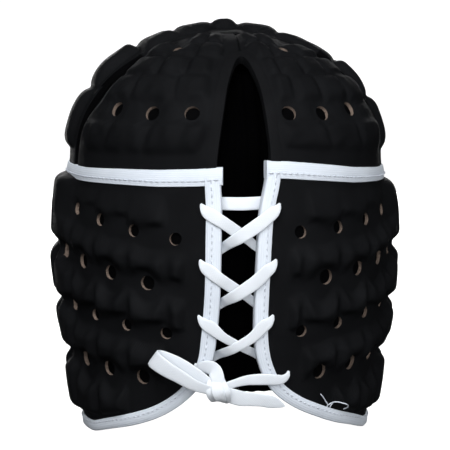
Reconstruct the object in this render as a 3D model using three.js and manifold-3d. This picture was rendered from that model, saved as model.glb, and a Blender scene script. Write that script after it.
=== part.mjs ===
// Padded sports head guard with a laced gap at the back.
// Millimetres, +Z up. The laced back faces -Y, and the guard stands on the rims of its side panels at z = 0.
import * as THREE from 'three';
import { mergeVertices } from 'three/addons/utils/BufferGeometryUtils.js';
import Module from 'manifold-3d';

const wasm = await Module();
wasm.setup();

// Head form: half width and half depth at each height of the wall, then a half ellipsoid above it
const WALL = [
  { z: -6, halfWidth: 75.4, halfDepth: 71.8 },
  { z: 0, halfWidth: 76.0, halfDepth: 73.5 },
  { z: 15, halfWidth: 77.3, halfDepth: 77.5 },
  { z: 40, halfWidth: 80.4, halfDepth: 84.0 },
  { z: 65, halfWidth: 84.4, halfDepth: 90.0 },
  { z: 95, halfWidth: 86.5, halfDepth: 95.5 },
  { z: 115, halfWidth: 86.0, halfDepth: 97.4 },
  { z: 130, halfWidth: 84.3, halfDepth: 98.0 },
  { z: 145, halfWidth: 83.0, halfDepth: 98.0 },
];
const DOME_BASE = 145;
const DOME_HEIGHT = 66;
const FRONT_RATIO = 0.965;
const FORM_SIDES = 20;
const FORM_LEVELS = [-6, 25, 60, 95];
const DOME_STEPS = 4;
const HOLLOW_DROP = 0.01;
const HOLLOW_CORE = 20;

// Foam wall, pads and joints between pieces
const FOAM = 4;
const PAD_RISE = 6.2;
const REAR_RISE = 3.4;
const FRONT_RISE = 4.6;
const PAD_SINK = 2.8;
const PAD_SLOPE = 3.2;
const PAD_EDGE = -2.1;
const GROOVE_FLOOR = 1.2;
const SHALLOW_FLOOR = 3.2;
const VENT_RADIUS = 4.4;
const VENT_SIDES = 5;
const DRILL_LENGTH = 40;
const JOINT = 0.3;

// Bindings and band: widths, and how far they stand proud of the foam on both faces
const BINDING = 7.4;
const BAND_WIDTH = 8.8;
const BINDING_PROUD = 0.8;
const GAP_EDGE = 5;

// Band round the head: its height at the back, and how far it dips towards the brow
const BAND_HEIGHT = 138.5;
const BROW_DIP = 12;
const DIP_FROM = 15;
const DIP_TO = 98;

// Lacing edge and hem as seen from behind: distance from the middle of the gap, and height
const LACING_EDGE = [
  { x: 10.4, z: 146 },
  { x: 9.9, z: 134 },
  { x: 8.7, z: 118 },
  { x: 8.6, z: 77 },
  { x: 9.6, z: 50.5 },
  { x: 12.8, z: 38.6 },
  { x: 19.5, z: 28.3 },
  { x: 31.4, z: 18.4 },
  { x: 47.5, z: 10 },
  { x: 62.5, z: 4.2 },
  { x: 71, z: 0 },
];
// Cheek edge as seen from the side, from the band down to the flat of the hem
const CHEEK_EDGE = [
  { y: 62, z: 146 },
  { y: 56, z: 128 },
  { y: 47, z: 98 },
  { y: 41, z: 62 },
  { y: 37, z: 26 },
  { y: 31, z: 8 },
  { y: 20, z: 0 },
];
// Arched gap above the band: half width at each height
const ARCH = [
  { half: 13.2, z: 130 },
  { half: 13.0, z: 146 },
  { half: 11.7, z: 158 },
  { half: 10.0, z: 170 },
  { half: 8.2, z: 180 },
  { half: 5.7, z: 188 },
  { half: 2.8, z: 194 },
];
const ARCH_TOP = 196.5;
// The gap leans a little to one side, about this height
const LEAN = 0.038;
const LEAN_PIVOT = 125;
const LEAN_FADE = 30;
// Seam across the head between the rear and front crown panels, and seam above the arch
const SEAM_Y = -26.6;
const CENTRE_SEAM_X = 3;

// Lower pads: where the narrow and the even columns of each side start, measured round from the back
const LOWER_COLUMNS = {
  left: { narrow: 27, even: 37.6 },
  right: { narrow: 23.5, even: 32 },
};
const COLUMN_PITCH = 22.8;
const COLUMNS = 6;
const COLUMNS_END = 168;
const VENT_COLUMNS = 4;
const ROUND_RATIO = 1.02;
// Rows of lower pads from the hem up: height of the row's lower line at the back, how far that line climbs
// towards the sides, the first padded column, and the floor of the grooves between its pads
const LOWER_ROWS = [
  { line: 12.5, climb: 0, first: 2, floor: GROOVE_FLOOR },
  { line: 34, climb: 6, first: 1, floor: GROOVE_FLOOR },
  { line: 58.5, climb: 6, first: 0, floor: GROOVE_FLOOR },
  { line: 83, climb: 8, first: 0, floor: GROOVE_FLOOR },
  { line: 108, climb: 8, first: 1, floor: SHALLOW_FLOOR },
];
const ROWS_TOP = { line: 131.5, climb: 0 };
// Lower vents from the top line down: distance of the first one on each side, and its depth under the line
const LOWER_VENTS = [
  { left: 33.5, right: 30.3, leftDrop: 1.4, rightDrop: 1.2 },
  { left: 49, right: 46.5, leftDrop: 1.6, rightDrop: 1.5 },
  { left: 38.5, right: 32.5, leftDrop: 1.5, rightDrop: 0.3 },
  { left: 51.7, right: 44.5, leftDrop: 3.4, rightDrop: 0 },
];
const VENT_PITCH = 23.4;
const LINE_SWEEP = 1.9;
const LINE_LEVEL_FROM = 95;

// Crown pads: rise of each row's lower line on the dome in degrees, column edges in degrees from the back,
// the first padded column and those after the last one, and the edges that have no groove
const REAR_ROWS = [
  { line: 5, edges: [12.5, 21, 32, 49, 68], first: 0, end: 4, flush: [1] },
  { line: 21, edges: [11.5, 21, 35, 49, 66], first: 0, end: 4, flush: [] },
  { line: 36, edges: [12, 20, 32, 47, 62], first: 0, end: 4, flush: [] },
  { line: 48, edges: [7, 14.5, 22, 39, 56], first: 0, end: 4, flush: [1] },
  { line: 61, edges: [8, 14, 20, 33, 45], first: 0, end: 3, flush: [1, 2] },
];
// Front rows have even columns and may tilt, lower on the right and higher on the left
const FRONT_COLUMNS = 10;
const FRONT_ROWS = [
  { line: 4, tilt: 0, start: 80, first: 0, end: 10, flush: [] },
  { line: 29.2, tilt: 2.2, start: 77, first: 0, end: 10, flush: [] },
  { line: 50.7, tilt: 4.8, start: 64, first: 0, end: 10, flush: [1, 3, 5, 7, 9] },
];
const REAR_TOP = 73;
const FRONT_TOP = 71;
// Pads on the very top: middle, half sizes and height
const TOP_PADS = [
  { x: -18, y: 2, halfWide: 8.5, halfDeep: 20, rise: FRONT_RISE },
  { x: 17, y: 2, halfWide: 10.5, halfDeep: 20, rise: FRONT_RISE },
  { x: -0.5, y: 5, halfWide: 6.5, halfDeep: 9, rise: 5.8 },
];
const TOP_PAD_SIDES = 10;
const REAR_VENTS = [
  { left: 17.8, right: 17.8, rise: 20.6 },
  { left: 33.2, right: 32.3, rise: 20.4 },
  { left: 50.3, right: 48.6, rise: 22 },
  { left: 36.6, right: 33.1, rise: 55.6 },
];
const FRONT_VENT_ROW = 1;
const FRONT_VENTS = [98, 139, 221, 262];

// Gusset behind the gap: half width at each height, its depth below the foam face, and its sewn margin
const GUSSET = [
  { half: 33, z: 25 },
  { half: 33, z: 140 },
  { half: 28, z: 172 },
  { half: 20, z: 190 },
  { half: 13, z: 203 },
];
const GUSSET_FRONT = -46;
const GUSSET_FACE = -9.6;
const GUSSET_THICK = 1.5;
const GUSSET_MARGIN = 4;

// Flat lace: pairs of eyelets with their heights and distance from the lacing edge, the heights of the lace
// over and under the edges, and how far inside the gap it starts to drop
const LACE_WIDTH = 7;
const LACE_THICK = 1.2;
const EYELET_RADIUS = 2;
const EYELET_SIDES = 5;
const EYELETS = [
  { left: 124.5, right: 124.5, fromEdge: 11 },
  { left: 97, right: 97, fromEdge: 11 },
  { left: 69, right: 69, fromEdge: 11 },
  { left: 46, right: 42, fromEdge: 11.5 },
];
const LACE_OVER = 1.8;
const LACE_UNDER = -7.8;
const LACE_NECK = 1.2;
const LACE_DROP = 2.5;
const LACE_LAST = 3;
const NECK_SIDES = 4;
const KNOT = { x: -10.6, z: 33.2, height: 4, radius: 6.5, flat: 0.65, squat: 0.85, sides: 7, rings: 5 };
const LOOP_WIDTH = 9;
// Bow loop and free tail: points seen from behind, with the height above the foam face
const LOOP_PATH = [
  { x: -10, z: 35.5, height: 6 },
  { x: -22, z: 43, height: 10 },
  { x: -34, z: 49, height: 11.4 },
  { x: -40, z: 48.6, height: 10 },
  { x: -36, z: 45, height: 8.6 },
  { x: -24, z: 39, height: 7.6 },
  { x: -10, z: 33, height: 4 },
];
const TAIL_PATH = [
  { x: -10, z: 33, height: 4 },
  { x: 2, z: 30.4, height: 4.5 },
  { x: 12, z: 28.2, height: 3.8 },
  { x: 21.5, z: 24.6, height: 3.2 },
];

const RADIAN = Math.PI / 180;
const GRID_PARTS = 3;
const NORMAL_STEP = 0.2;
const LACING_STEPS = 22;
const CHEEK_STEPS = 12;
const BAND_STEPS = 8;
// Limits of the cutting blocks, outside the guard
const FAR = 140;
const UNDER = -30;
const PANEL_TOP = 180;
const OVER = 260;

// Smooth value of one column of the wall table at a height
function wallSize(z, column) {
  let i = 0;
  while (i < WALL.length - 2 && WALL[i + 1].z < z) i += 1;
  const at = (k) => WALL[Math.min(Math.max(k, 0), WALL.length - 1)];
  const slope = (k) => (at(k + 1)[column] - at(k - 1)[column]) / (at(k + 1).z - at(k - 1).z);
  const span = WALL[i + 1].z - WALL[i].z;
  const t = (z - WALL[i].z) / span;
  const ease = t * t * (3 - 2 * t);
  const start = slope(i) * span * t * (1 - t) * (1 - t);
  const end = slope(i + 1) * span * t * t * (t - 1);
  return WALL[i][column] * (1 - ease) + WALL[i + 1][column] * ease + start + end;
}

// Rise along the form in degrees: negative on the wall, 90 at the top of the dome
function riseAt(z) {
  const part = (z - DOME_BASE) / DOME_HEIGHT;
  return (part < 0 ? part : Math.asin(Math.min(part, 1))) / RADIAN;
}

// Point of the bare form at an angle from the back and a rise, both in degrees
function barePoint(theta, rise) {
  const turn = theta * RADIAN;
  const climb = rise * RADIAN;
  const z = DOME_BASE + DOME_HEIGHT * (rise < 0 ? climb : Math.sin(climb));
  const shrink = rise < 0 ? 1 : Math.cos(climb);
  const wide = shrink * wallSize(Math.min(z, DOME_BASE), 'halfWidth');
  const front = Math.cos(turn) < 0 ? FRONT_RATIO : 1;
  const deep = front * shrink * wallSize(Math.min(z, DOME_BASE), 'halfDepth');
  return new THREE.Vector3(wide * Math.sin(turn), -deep * Math.cos(turn), z);
}

function formNormal(theta, rise) {
  const level = Math.min(rise, 90 - 2 * NORMAL_STEP);
  const round = barePoint(theta + NORMAL_STEP, level).sub(barePoint(theta - NORMAL_STEP, level));
  const up = barePoint(theta, level + NORMAL_STEP).sub(barePoint(theta, level - NORMAL_STEP));
  return round.cross(up).normalize();
}

function formPoint(theta, rise, offset) {
  return barePoint(theta, rise).addScaledVector(formNormal(theta, rise), offset);
}

// Angle from the back of the point that lies at x, seen from behind
function thetaAt(x, z) {
  return Math.asin(x / barePoint(90, riseAt(z)).x) / RADIAN;
}

// Sideways shift of the middle of the gap, fading out away from it
function gapMiddle(z, away = 0) {
  const fade = Math.max(0, 1 - Math.max(0, away - 10) / LEAN_FADE);
  return LEAN * (z - LEAN_PIVOT) * fade;
}

// Closed solid of a three.js geometry
function solid(geometry) {
  geometry.deleteAttribute('normal');
  geometry.deleteAttribute('uv');
  const merged = mergeVertices(geometry, 1e-4);
  const vertProperties = new Float32Array(merged.attributes.position.array);
  const triVerts = new Uint32Array(merged.index.array);
  return new wasm.Manifold(new wasm.Mesh({ numProp: 3, vertProperties, triVerts }));
}

function joined(solids) {
  return solids.reduce((sum, item) => sum.add(item));
}

// Moves every vertex of a geometry to the place that a function gives it
function moved(geometry, place) {
  const position = geometry.attributes.position;
  const at = new THREE.Vector3();
  for (let i = 0; i < position.count; i += 1) {
    at.fromBufferAttribute(position, i);
    const to = place(at);
    position.setXYZ(i, to.x, to.y, to.z);
  }
  return geometry;
}

// Whole head form as one solid, grown by an offset
function form(offset) {
  const rises = FORM_LEVELS.map(riseAt);
  for (let i = 0; i < DOME_STEPS; i += 1) rises.push((90 * i) / DOME_STEPS);
  const outline = [new THREE.Vector2(0, 0)];
  rises.forEach((rise, i) => outline.push(new THREE.Vector2(1, i)));
  outline.push(new THREE.Vector2(0, rises.length));
  return solid(moved(new THREE.LatheGeometry(outline, FORM_SIDES), (v) => {
    const row = Math.round(v.y);
    if (row === rises.length) return formPoint(0, 90, offset).setX(0).setY(0);
    if (Math.hypot(v.x, v.z) < 0.5) return new THREE.Vector3(0, 0, formPoint(0, rises[0], offset).z);
    const theta = Math.atan2(v.x, v.z) / RADIAN;
    const point = formPoint(theta, rises[row], offset);
    return row === 0 ? point.setZ(formPoint(0, rises[0], offset).z) : point;
  }));
}

function shell(outer, inner) {
  const hollow = form(inner).translate(0, 0, -HOLLOW_DROP);
  return form(outer).subtract(hollow.add(box(-HOLLOW_CORE, HOLLOW_CORE, -HOLLOW_CORE, HOLLOW_CORE, -FAR, 0)));
}

function box(x0, x1, y0, y1, z0, z1) {
  const block = new THREE.BoxGeometry(x1 - x0, y1 - y0, z1 - z0);
  return solid(block.translate((x0 + x1) / 2, (y0 + y1) / 2, (z0 + z1) / 2));
}

function extruded(points, depth) {
  return new THREE.ExtrudeGeometry(new THREE.Shape(points), { depth, bevelEnabled: false, steps: 1 });
}

// Prism of an outline seen from behind, through the back of the guard up to a front face
function backPrism(points, front = 0) {
  return solid(extruded(points, FAR).rotateX(Math.PI / 2).translate(0, front, 0));
}

// Prism of an outline seen from the side, through the whole width
function sidePrism(points) {
  const basis = new THREE.Matrix4().makeBasis(
    new THREE.Vector3(0, 1, 0), new THREE.Vector3(0, 0, 1), new THREE.Vector3(1, 0, 0));
  return solid(extruded(points, 2 * FAR).applyMatrix4(basis).translate(-FAR, 0, 0));
}

// Points along a smooth line, moved sideways by an inset
function insetLine(points, steps, inset, turnSign) {
  const curve = new THREE.SplineCurve(points);
  const line = [];
  for (let i = 0; i <= steps; i += 1) {
    const tangent = curve.getTangent(i / steps);
    const normal = new THREE.Vector2(-tangent.y, tangent.x).multiplyScalar(turnSign);
    line.push(curve.getPoint(i / steps).addScaledVector(normal, inset));
  }
  return line;
}

// Everything outside the lower panel of one side, with the panel's edge moved in by an inset
function outsidePanel(side, inset) {
  const edge = LACING_EDGE.map((p) => new THREE.Vector2(p.x, p.z));
  const line = insetLine(edge, LACING_STEPS, inset, 1);
  const rear = line.map((p) => new THREE.Vector2(side * p.x + gapMiddle(p.y, p.x), p.y));
  const floor = Math.max(inset, 0);
  rear.push(new THREE.Vector2(side * FAR, floor));
  rear.push(new THREE.Vector2(side * FAR, UNDER), new THREE.Vector2(-side * FAR, UNDER));
  rear.push(new THREE.Vector2(-side * FAR, PANEL_TOP), new THREE.Vector2(rear[0].x, PANEL_TOP));
  const cheek = CHEEK_EDGE.map((p) => new THREE.Vector2(p.y, p.z));
  const front = insetLine(cheek, CHEEK_STEPS, inset, -1);
  front.push(new THREE.Vector2(-1, floor), new THREE.Vector2(-1, UNDER), new THREE.Vector2(FAR, UNDER));
  front.push(new THREE.Vector2(FAR, PANEL_TOP), new THREE.Vector2(front[0].x, PANEL_TOP));
  const [from, to] = side > 0 ? [-FAR, 0] : [0, FAR];
  const otherHalf = box(from, to, -1, FAR, UNDER, PANEL_TOP);
  return joined([backPrism(rear), sidePrism(front), otherHalf]);
}

// Height of the band's middle line, seen from the side
function bandHeight(y) {
  const t = Math.min(Math.max((y - DIP_FROM) / (DIP_TO - DIP_FROM), 0), 1);
  return BAND_HEIGHT - BROW_DIP * t * t * (3 - 2 * t);
}

// Everything above the band's middle line moved up by a lift
function aboveBand(lift) {
  const line = [new THREE.Vector2(-FAR, bandHeight(-FAR) + lift)];
  for (let i = 0; i <= BAND_STEPS; i += 1) {
    const y = DIP_FROM + ((DIP_TO - DIP_FROM) * i) / BAND_STEPS;
    line.push(new THREE.Vector2(y, bandHeight(y) + lift));
  }
  line.push(new THREE.Vector2(FAR, bandHeight(FAR) + lift));
  line.push(new THREE.Vector2(FAR, OVER), new THREE.Vector2(-FAR, OVER));
  return sidePrism(line);
}

// Arched gap grown by a margin, or the straight gap at the band
function archGap(margin) {
  const rows = ARCH.map((row) => ({ half: row.half + margin, z: row.z }));
  const right = rows.map((row) => new THREE.Vector2(gapMiddle(row.z) + row.half, row.z));
  const left = rows.map((row) => new THREE.Vector2(gapMiddle(row.z) - row.half, row.z)).reverse();
  const top = new THREE.Vector2(gapMiddle(ARCH_TOP), ARCH_TOP + margin);
  return backPrism([...right, top, ...left]);
}

function bandGap() {
  const half = LACING_EDGE[0].x;
  const middle = gapMiddle(BAND_HEIGHT);
  return box(middle - half, middle + half, -FAR, 0, BAND_HEIGHT - BAND_WIDTH, BAND_HEIGHT + BAND_WIDTH);
}

// Raised pads of one panel, as one block on the form. Each cell of its grid has a groove line, then the start
// and the end of the pad's flat top, both ways. A pad beside an empty cell slopes down into the foam.
function padGrid(side, columns, rows, grid) {
  const block = new THREE.BoxGeometry(1, 1, 1, GRID_PARTS * columns, GRID_PARTS * rows, 1);
  const spot = (share, cells) => {
    const index = Math.round((0.5 + share) * GRID_PARTS * cells);
    return { cell: Math.floor(index / GRID_PARTS), part: index % GRID_PARTS };
  };
  return solid(moved(block, (v) => {
    const across = spot(side * v.x, columns);
    const up = spot(v.y, rows);
    const place = grid.place(across, up);
    const cellColumns = across.part === 0 ? [across.cell - 1, across.cell] : [across.cell];
    const cellRows = up.part === 0 ? [up.cell - 1, up.cell] : [up.cell];
    const padded = cellColumns.every((column) => cellRows.every((row) => grid.isPad(column, row)));
    let height = padded ? grid.rise : PAD_EDGE;
    if (padded && across.part === 0) height = grid.floor(across.cell, up.cell);
    if (padded && up.part === 0) height = GROOVE_FLOOR;
    return formPoint(side * place.theta, place.rise, v.z > 0 ? height : -PAD_SINK);
  }));
}

// Value at one part of a cell: the line before it, or the start or end of the flat top
function cellValue(spot, lineAt, slope) {
  if (spot.part === 0) return lineAt(spot.cell);
  return spot.part === 1 ? lineAt(spot.cell) + slope : lineAt(spot.cell + 1) - slope;
}

// How far a row's lower line is tilted down at an angle from the back
function tiltAt(row, theta) {
  return (row?.tilt ?? 0) * Math.sin(theta * RADIAN);
}

// Crown pads from rows with the same number of columns, up to a top line. The lowest row dips with the band.
function crownPads(side, rows, top, rise) {
  const columns = rows[0].edges.length - 1;
  const degreesUp = 1 / (DOME_HEIGHT * RADIAN);
  const browDip = (theta) => (BAND_HEIGHT - bandHeight(barePoint(theta, 0).y)) * degreesUp;
  const lineAt = (row) => (row < rows.length ? rows[row].line : top);
  const inRow = (column, row) => column >= rows[row].first && column < rows[row].end;
  return padGrid(side, columns, rows.length, {
    rise,
    isPad: (column, row) => row >= 0 && row < rows.length && inRow(column, row),
    floor: (column, row) => (rows[row].flush.includes(column) ? rise : GROOVE_FLOOR),
    place: (across, up) => {
      const level = cellValue(up, lineAt, PAD_SLOPE * degreesUp);
      const below = rows[Math.max(up.part === 0 ? up.cell - 1 : up.cell, 0)];
      const above = rows[Math.min(up.cell, rows.length - 1)];
      const edgeAt = (column) => (below.edges[column] + above.edges[column]) / 2;
      const theta = cellValue(across, edgeAt, PAD_SLOPE / (barePoint(90, level).x * RADIAN));
      const dips = up.cell === 0 && up.part < 2;
      const lineRow = rows[up.part === 2 ? up.cell + 1 : up.cell];
      return { theta, rise: level - (dips ? browDip(theta) : 0) - tiltAt(lineRow, theta) };
    },
  });
}

// Rows of the front crown, each with even columns from one end of the seam round the brow to the other
function frontRows() {
  return FRONT_ROWS.map((row) => {
    const pitch = (360 - 2 * row.start) / FRONT_COLUMNS;
    return { ...row, edges: Array.from({ length: FRONT_COLUMNS + 1 }, (_, k) => row.start + pitch * k) };
  });
}

// Oval pad on the top of the crown, laid on the dome
function topPad(pad) {
  const oval = new THREE.CylinderGeometry(1, 1, 1, TOP_PAD_SIDES).rotateX(Math.PI / 2);
  const inset = 1 - PAD_SLOPE / pad.halfWide;
  const broad = barePoint(90, 0).x;
  const long = barePoint(180, 0).y;
  return solid(moved(oval, (v) => {
    const share = v.z > 0 ? inset : 1;
    const x = pad.x + pad.halfWide * share * v.x;
    const y = pad.y + pad.halfDeep * share * v.y;
    const theta = Math.atan2(x / broad, -y / long) / RADIAN;
    const rise = Math.acos(Math.hypot(x / broad, y / long)) / RADIAN;
    return formPoint(theta, rise, v.z > 0 ? pad.rise : -PAD_SINK);
  }));
}

// Height of a line between rows of lower pads, at an angle from the back
function rowLine(row, theta) {
  const turn = Math.min(Math.abs(theta), LINE_LEVEL_FROM) * LINE_SWEEP * RADIAN;
  return row.line + row.climb * (1 - Math.cos(turn));
}

// Angle from the back at a distance measured round the guard, at a height
function thetaRound(distance, z) {
  return distance / (ROUND_RATIO * wallSize(z, 'halfWidth')) / RADIAN;
}

// Lower pads of one side: a narrow column beside the lacing, then even columns
function lowerPads(side) {
  const rows = [...LOWER_ROWS, ROWS_TOP];
  const columns = COLUMNS + 1;
  const { narrow, even } = side < 0 ? LOWER_COLUMNS.left : LOWER_COLUMNS.right;
  const evenEdge = (column) => Math.min(even + COLUMN_PITCH * (column - 1), COLUMNS_END);
  const edgeAt = (column) => (column === 0 ? narrow : evenEdge(column));
  const inRow = (column, row) => column >= LOWER_ROWS[row].first && column < columns;
  return padGrid(side, columns, LOWER_ROWS.length, {
    rise: PAD_RISE,
    isPad: (column, row) => row >= 0 && row < LOWER_ROWS.length && inRow(column, row),
    floor: (column, row) => LOWER_ROWS[row].floor,
    place: (across, up) => {
      const distance = cellValue(across, edgeAt, PAD_SLOPE);
      const lineAt = (row) => rowLine(rows[row], thetaRound(distance, rows[row].line));
      const z = cellValue(up, lineAt, PAD_SLOPE);
      return { theta: thetaRound(distance, z), rise: riseAt(z) };
    },
  });
}

// Round hole square through the wall
function borehole(theta, rise, radius, sides) {
  const drill = new THREE.CylinderGeometry(radius, radius, DRILL_LENGTH, sides);
  const turn = new THREE.Quaternion().setFromUnitVectors(new THREE.Vector3(0, 1, 0), formNormal(theta, rise));
  const at = formPoint(theta, rise, 0);
  return solid(drill.applyQuaternion(turn).translate(at.x, at.y, at.z));
}

function crownVents(side, vents) {
  return vents.map((vent) => {
    const theta = side < 0 ? -vent.left : vent.right;
    return borehole(theta, vent.rise, VENT_RADIUS, VENT_SIDES);
  });
}

// Vents of the front crown, along the line over its first row of pads
function frontVents() {
  const row = FRONT_ROWS[FRONT_VENT_ROW];
  return FRONT_VENTS.map((theta) => borehole(theta, row.line - tiltAt(row, theta), VENT_RADIUS, VENT_SIDES));
}

// Vents of the lower panel: by the corners of the pads in one line, midway between corners in the next
function lowerVents(side) {
  const lines = LOWER_ROWS.slice(1).reverse();
  return lines.flatMap((line, index) => Array.from({ length: VENT_COLUMNS }, (_, k) => {
    const vent = LOWER_VENTS[index];
    const distance = (side < 0 ? vent.left : vent.right) + VENT_PITCH * k;
    const drop = side < 0 ? vent.leftDrop : vent.rightDrop;
    const z = rowLine(line, thetaRound(distance, line.line)) - drop;
    return borehole(side * thetaRound(distance, z), riseAt(z), VENT_RADIUS, VENT_SIDES);
  }));
}

// Distance of the lacing edge from the middle of the gap at a height
function edgeAt(z) {
  let i = 0;
  while (i < LACING_EDGE.length - 2 && LACING_EDGE[i + 1].z > z) i += 1;
  const upper = LACING_EDGE[i];
  const lower = LACING_EDGE[i + 1];
  return upper.x + ((lower.x - upper.x) * (upper.z - z)) / (upper.z - lower.z);
}

function eyelet(side, index) {
  const { left, right, fromEdge } = EYELETS[index];
  const z = side < 0 ? left : right;
  return { x: gapMiddle(z) + side * (edgeAt(z) + fromEdge), z };
}

function eyelets(side) {
  return EYELETS.map((row, index) => {
    const hole = eyelet(side, index);
    return borehole(thetaAt(hole.x, hole.z), riseAt(hole.z), EYELET_RADIUS, EYELET_SIDES);
  });
}

// Padded panel: foam shell with its pads, cut to its outline and pierced
function panel(foam, pads, cuts, holes) {
  const padded = joined([foam, ...pads]);
  const trimmed = cuts.reduce((rest, cut) => rest.subtract(cut), padded);
  return holes.reduce((rest, hole) => rest.subtract(hole), trimmed);
}

// Point seen from behind at x and z, at a height above the foam face
function lacePoint(p) {
  return formPoint(thetaAt(p.x, p.z), riseAt(p.z), p.height);
}

// Flat ribbon along points seen from behind, with its broad face turned outwards
function ribbon(points, width) {
  const places = points.map(lacePoint);
  const last = places.length - 1;
  const middle = points[Math.floor(points.length / 2)];
  const outward = formNormal(thetaAt(middle.x, middle.z), riseAt(middle.z));
  const across = outward.clone().cross(places[1].clone().sub(places[0])).normalize();
  return solid(moved(new THREE.BoxGeometry(1, 1, 1, last, 1, 1), (v) => {
    const i = Math.round((v.x + 0.5) * last);
    const along = places[Math.min(i + 1, last)].clone().sub(places[Math.max(i - 1, 0)]).normalize();
    const face = along.cross(across).normalize();
    const at = places[i].clone().addScaledVector(across, v.y * width);
    return at.addScaledVector(face, v.z * LACE_THICK);
  }));
}

// One run of lace: out of an eyelet, over its edge, across the gap and under the other edge
function laceRun(side, index) {
  const from = eyelet(side, index);
  const to = eyelet(-side, index + 1);
  const dropFrom = gapMiddle(from.z) + side * (edgeAt(from.z) - LACE_DROP);
  const dropTo = gapMiddle(to.z) - side * (edgeAt(to.z) - LACE_DROP);
  const height = (x) => from.z + ((to.z - from.z) * (x - from.x)) / (to.x - from.x);
  return ribbon([
    { ...from, height: LACE_OVER },
    { x: dropFrom, z: height(dropFrom), height: LACE_OVER },
    { x: dropTo, z: height(dropTo), height: LACE_UNDER },
    { ...to, height: LACE_UNDER },
  ], LACE_WIDTH);
}

function laceNeck(side, index) {
  const hole = eyelet(side, index);
  const theta = thetaAt(hole.x, hole.z);
  const rise = riseAt(hole.z);
  const neck = new THREE.CylinderGeometry(LACE_NECK, LACE_NECK, LACE_OVER - LACE_UNDER, NECK_SIDES);
  const turn = new THREE.Quaternion().setFromUnitVectors(new THREE.Vector3(0, 1, 0), formNormal(theta, rise));
  const at = formPoint(theta, rise, (LACE_OVER + LACE_UNDER) / 2);
  return solid(neck.applyQuaternion(turn).translate(at.x, at.y, at.z));
}

// Whole lace: bar, crossings, necks through the eyelets, last runs to the knot, bow loop and tail
function lace() {
  const left = eyelet(-1, 0);
  const right = eyelet(1, 0);
  const across = { x: (left.x + right.x) / 2, z: left.z };
  const bar = [left, across, right].map((p) => ({ ...p, height: LACE_UNDER }));
  const runs = [ribbon(bar, LACE_WIDTH)];
  for (let index = 0; index < EYELETS.length; index += 1) {
    [-1, 1].forEach((side) => {
      runs.push(laceNeck(side, index));
      if (index + 1 < EYELETS.length) runs.push(laceRun(side, index));
    });
  }
  const lastRight = eyelet(1, EYELETS.length - 1);
  const lastLeft = eyelet(-1, EYELETS.length - 1);
  const knotPoint = { x: KNOT.x, z: KNOT.z, height: KNOT.height };
  [lastRight, lastLeft].forEach((hole) => {
    const between = { x: (hole.x + KNOT.x) / 2, z: (hole.z + KNOT.z) / 2, height: LACE_LAST };
    runs.push(ribbon([{ ...hole, height: LACE_OVER }, between, knotPoint], LACE_WIDTH));
  });
  runs.push(ribbon(LOOP_PATH, LOOP_WIDTH));
  runs.push(ribbon(TAIL_PATH, LACE_WIDTH));
  const ball = new THREE.SphereGeometry(KNOT.radius, KNOT.sides, KNOT.rings).scale(1, KNOT.flat, KNOT.squat);
  const at = lacePoint(knotPoint);
  runs.push(solid(ball.translate(at.x, at.y, at.z)));
  return joined(runs);
}

// Gusset: thin sheet behind the gap, with a margin along both sides that is sewn to the foam
function gusset() {
  const outline = (inset, overhang) => {
    const first = { half: GUSSET[0].half, z: GUSSET[0].z - overhang };
    const rows = [first, ...GUSSET.slice(1)];
    const right = rows.map((row) => new THREE.Vector2(gapMiddle(row.z) + row.half - inset, row.z));
    const left = rows.map((row) => new THREE.Vector2(gapMiddle(row.z) - row.half + inset, row.z)).reverse();
    return [...right, ...left];
  };
  const whole = backPrism(outline(0, 0), GUSSET_FRONT);
  const sheet = shell(GUSSET_FACE, GUSSET_FACE - GUSSET_THICK).intersect(whole);
  const rim = shell(-FOAM - BINDING_PROUD - JOINT, GUSSET_FACE - GUSSET_THICK / 2).intersect(whole);
  return sheet.add(rim.subtract(backPrism(outline(GUSSET_MARGIN, GUSSET_MARGIN))));
}

// Colours of the pieces
const BLACK_FABRIC = { color: 0x1a1a1c, roughness: 0.85, metalness: 0 };
const WHITE_BINDING = { color: 0xdfe4ec, roughness: 0.8, metalness: 0 };
const BLACK_STRETCH = { color: 0x0c0c0d, roughness: 0.9, metalness: 0 };
const WHITE_LACE = { color: 0xe8ecf2, roughness: 0.75, metalness: 0 };

function node(name, body, look) {
  const raw = body.getMesh();
  const geometry = new THREE.BufferGeometry();
  geometry.setAttribute('position', new THREE.BufferAttribute(new Float32Array(raw.vertProperties), 3));
  geometry.setIndex(new THREE.BufferAttribute(new Uint32Array(raw.triVerts), 1));
  const mesh = new THREE.Mesh(geometry, new THREE.MeshStandardMaterial(look));
  mesh.name = name;
  return mesh;
}

const group = new THREE.Group();
const foamShell = shell(0, -FOAM);
const bindingShell = shell(BINDING_PROUD, -FOAM - BINDING_PROUD);
const crownLift = BAND_WIDTH / 2 + JOINT;
const belowCrown = box(-FAR, FAR, -FAR, FAR, UNDER, OVER).subtract(aboveBand(crownLift));
const lowerFoam = foamShell.subtract(aboveBand(-crownLift));
const lowerBinding = bindingShell.subtract(aboveBand(-crownLift));

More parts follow.
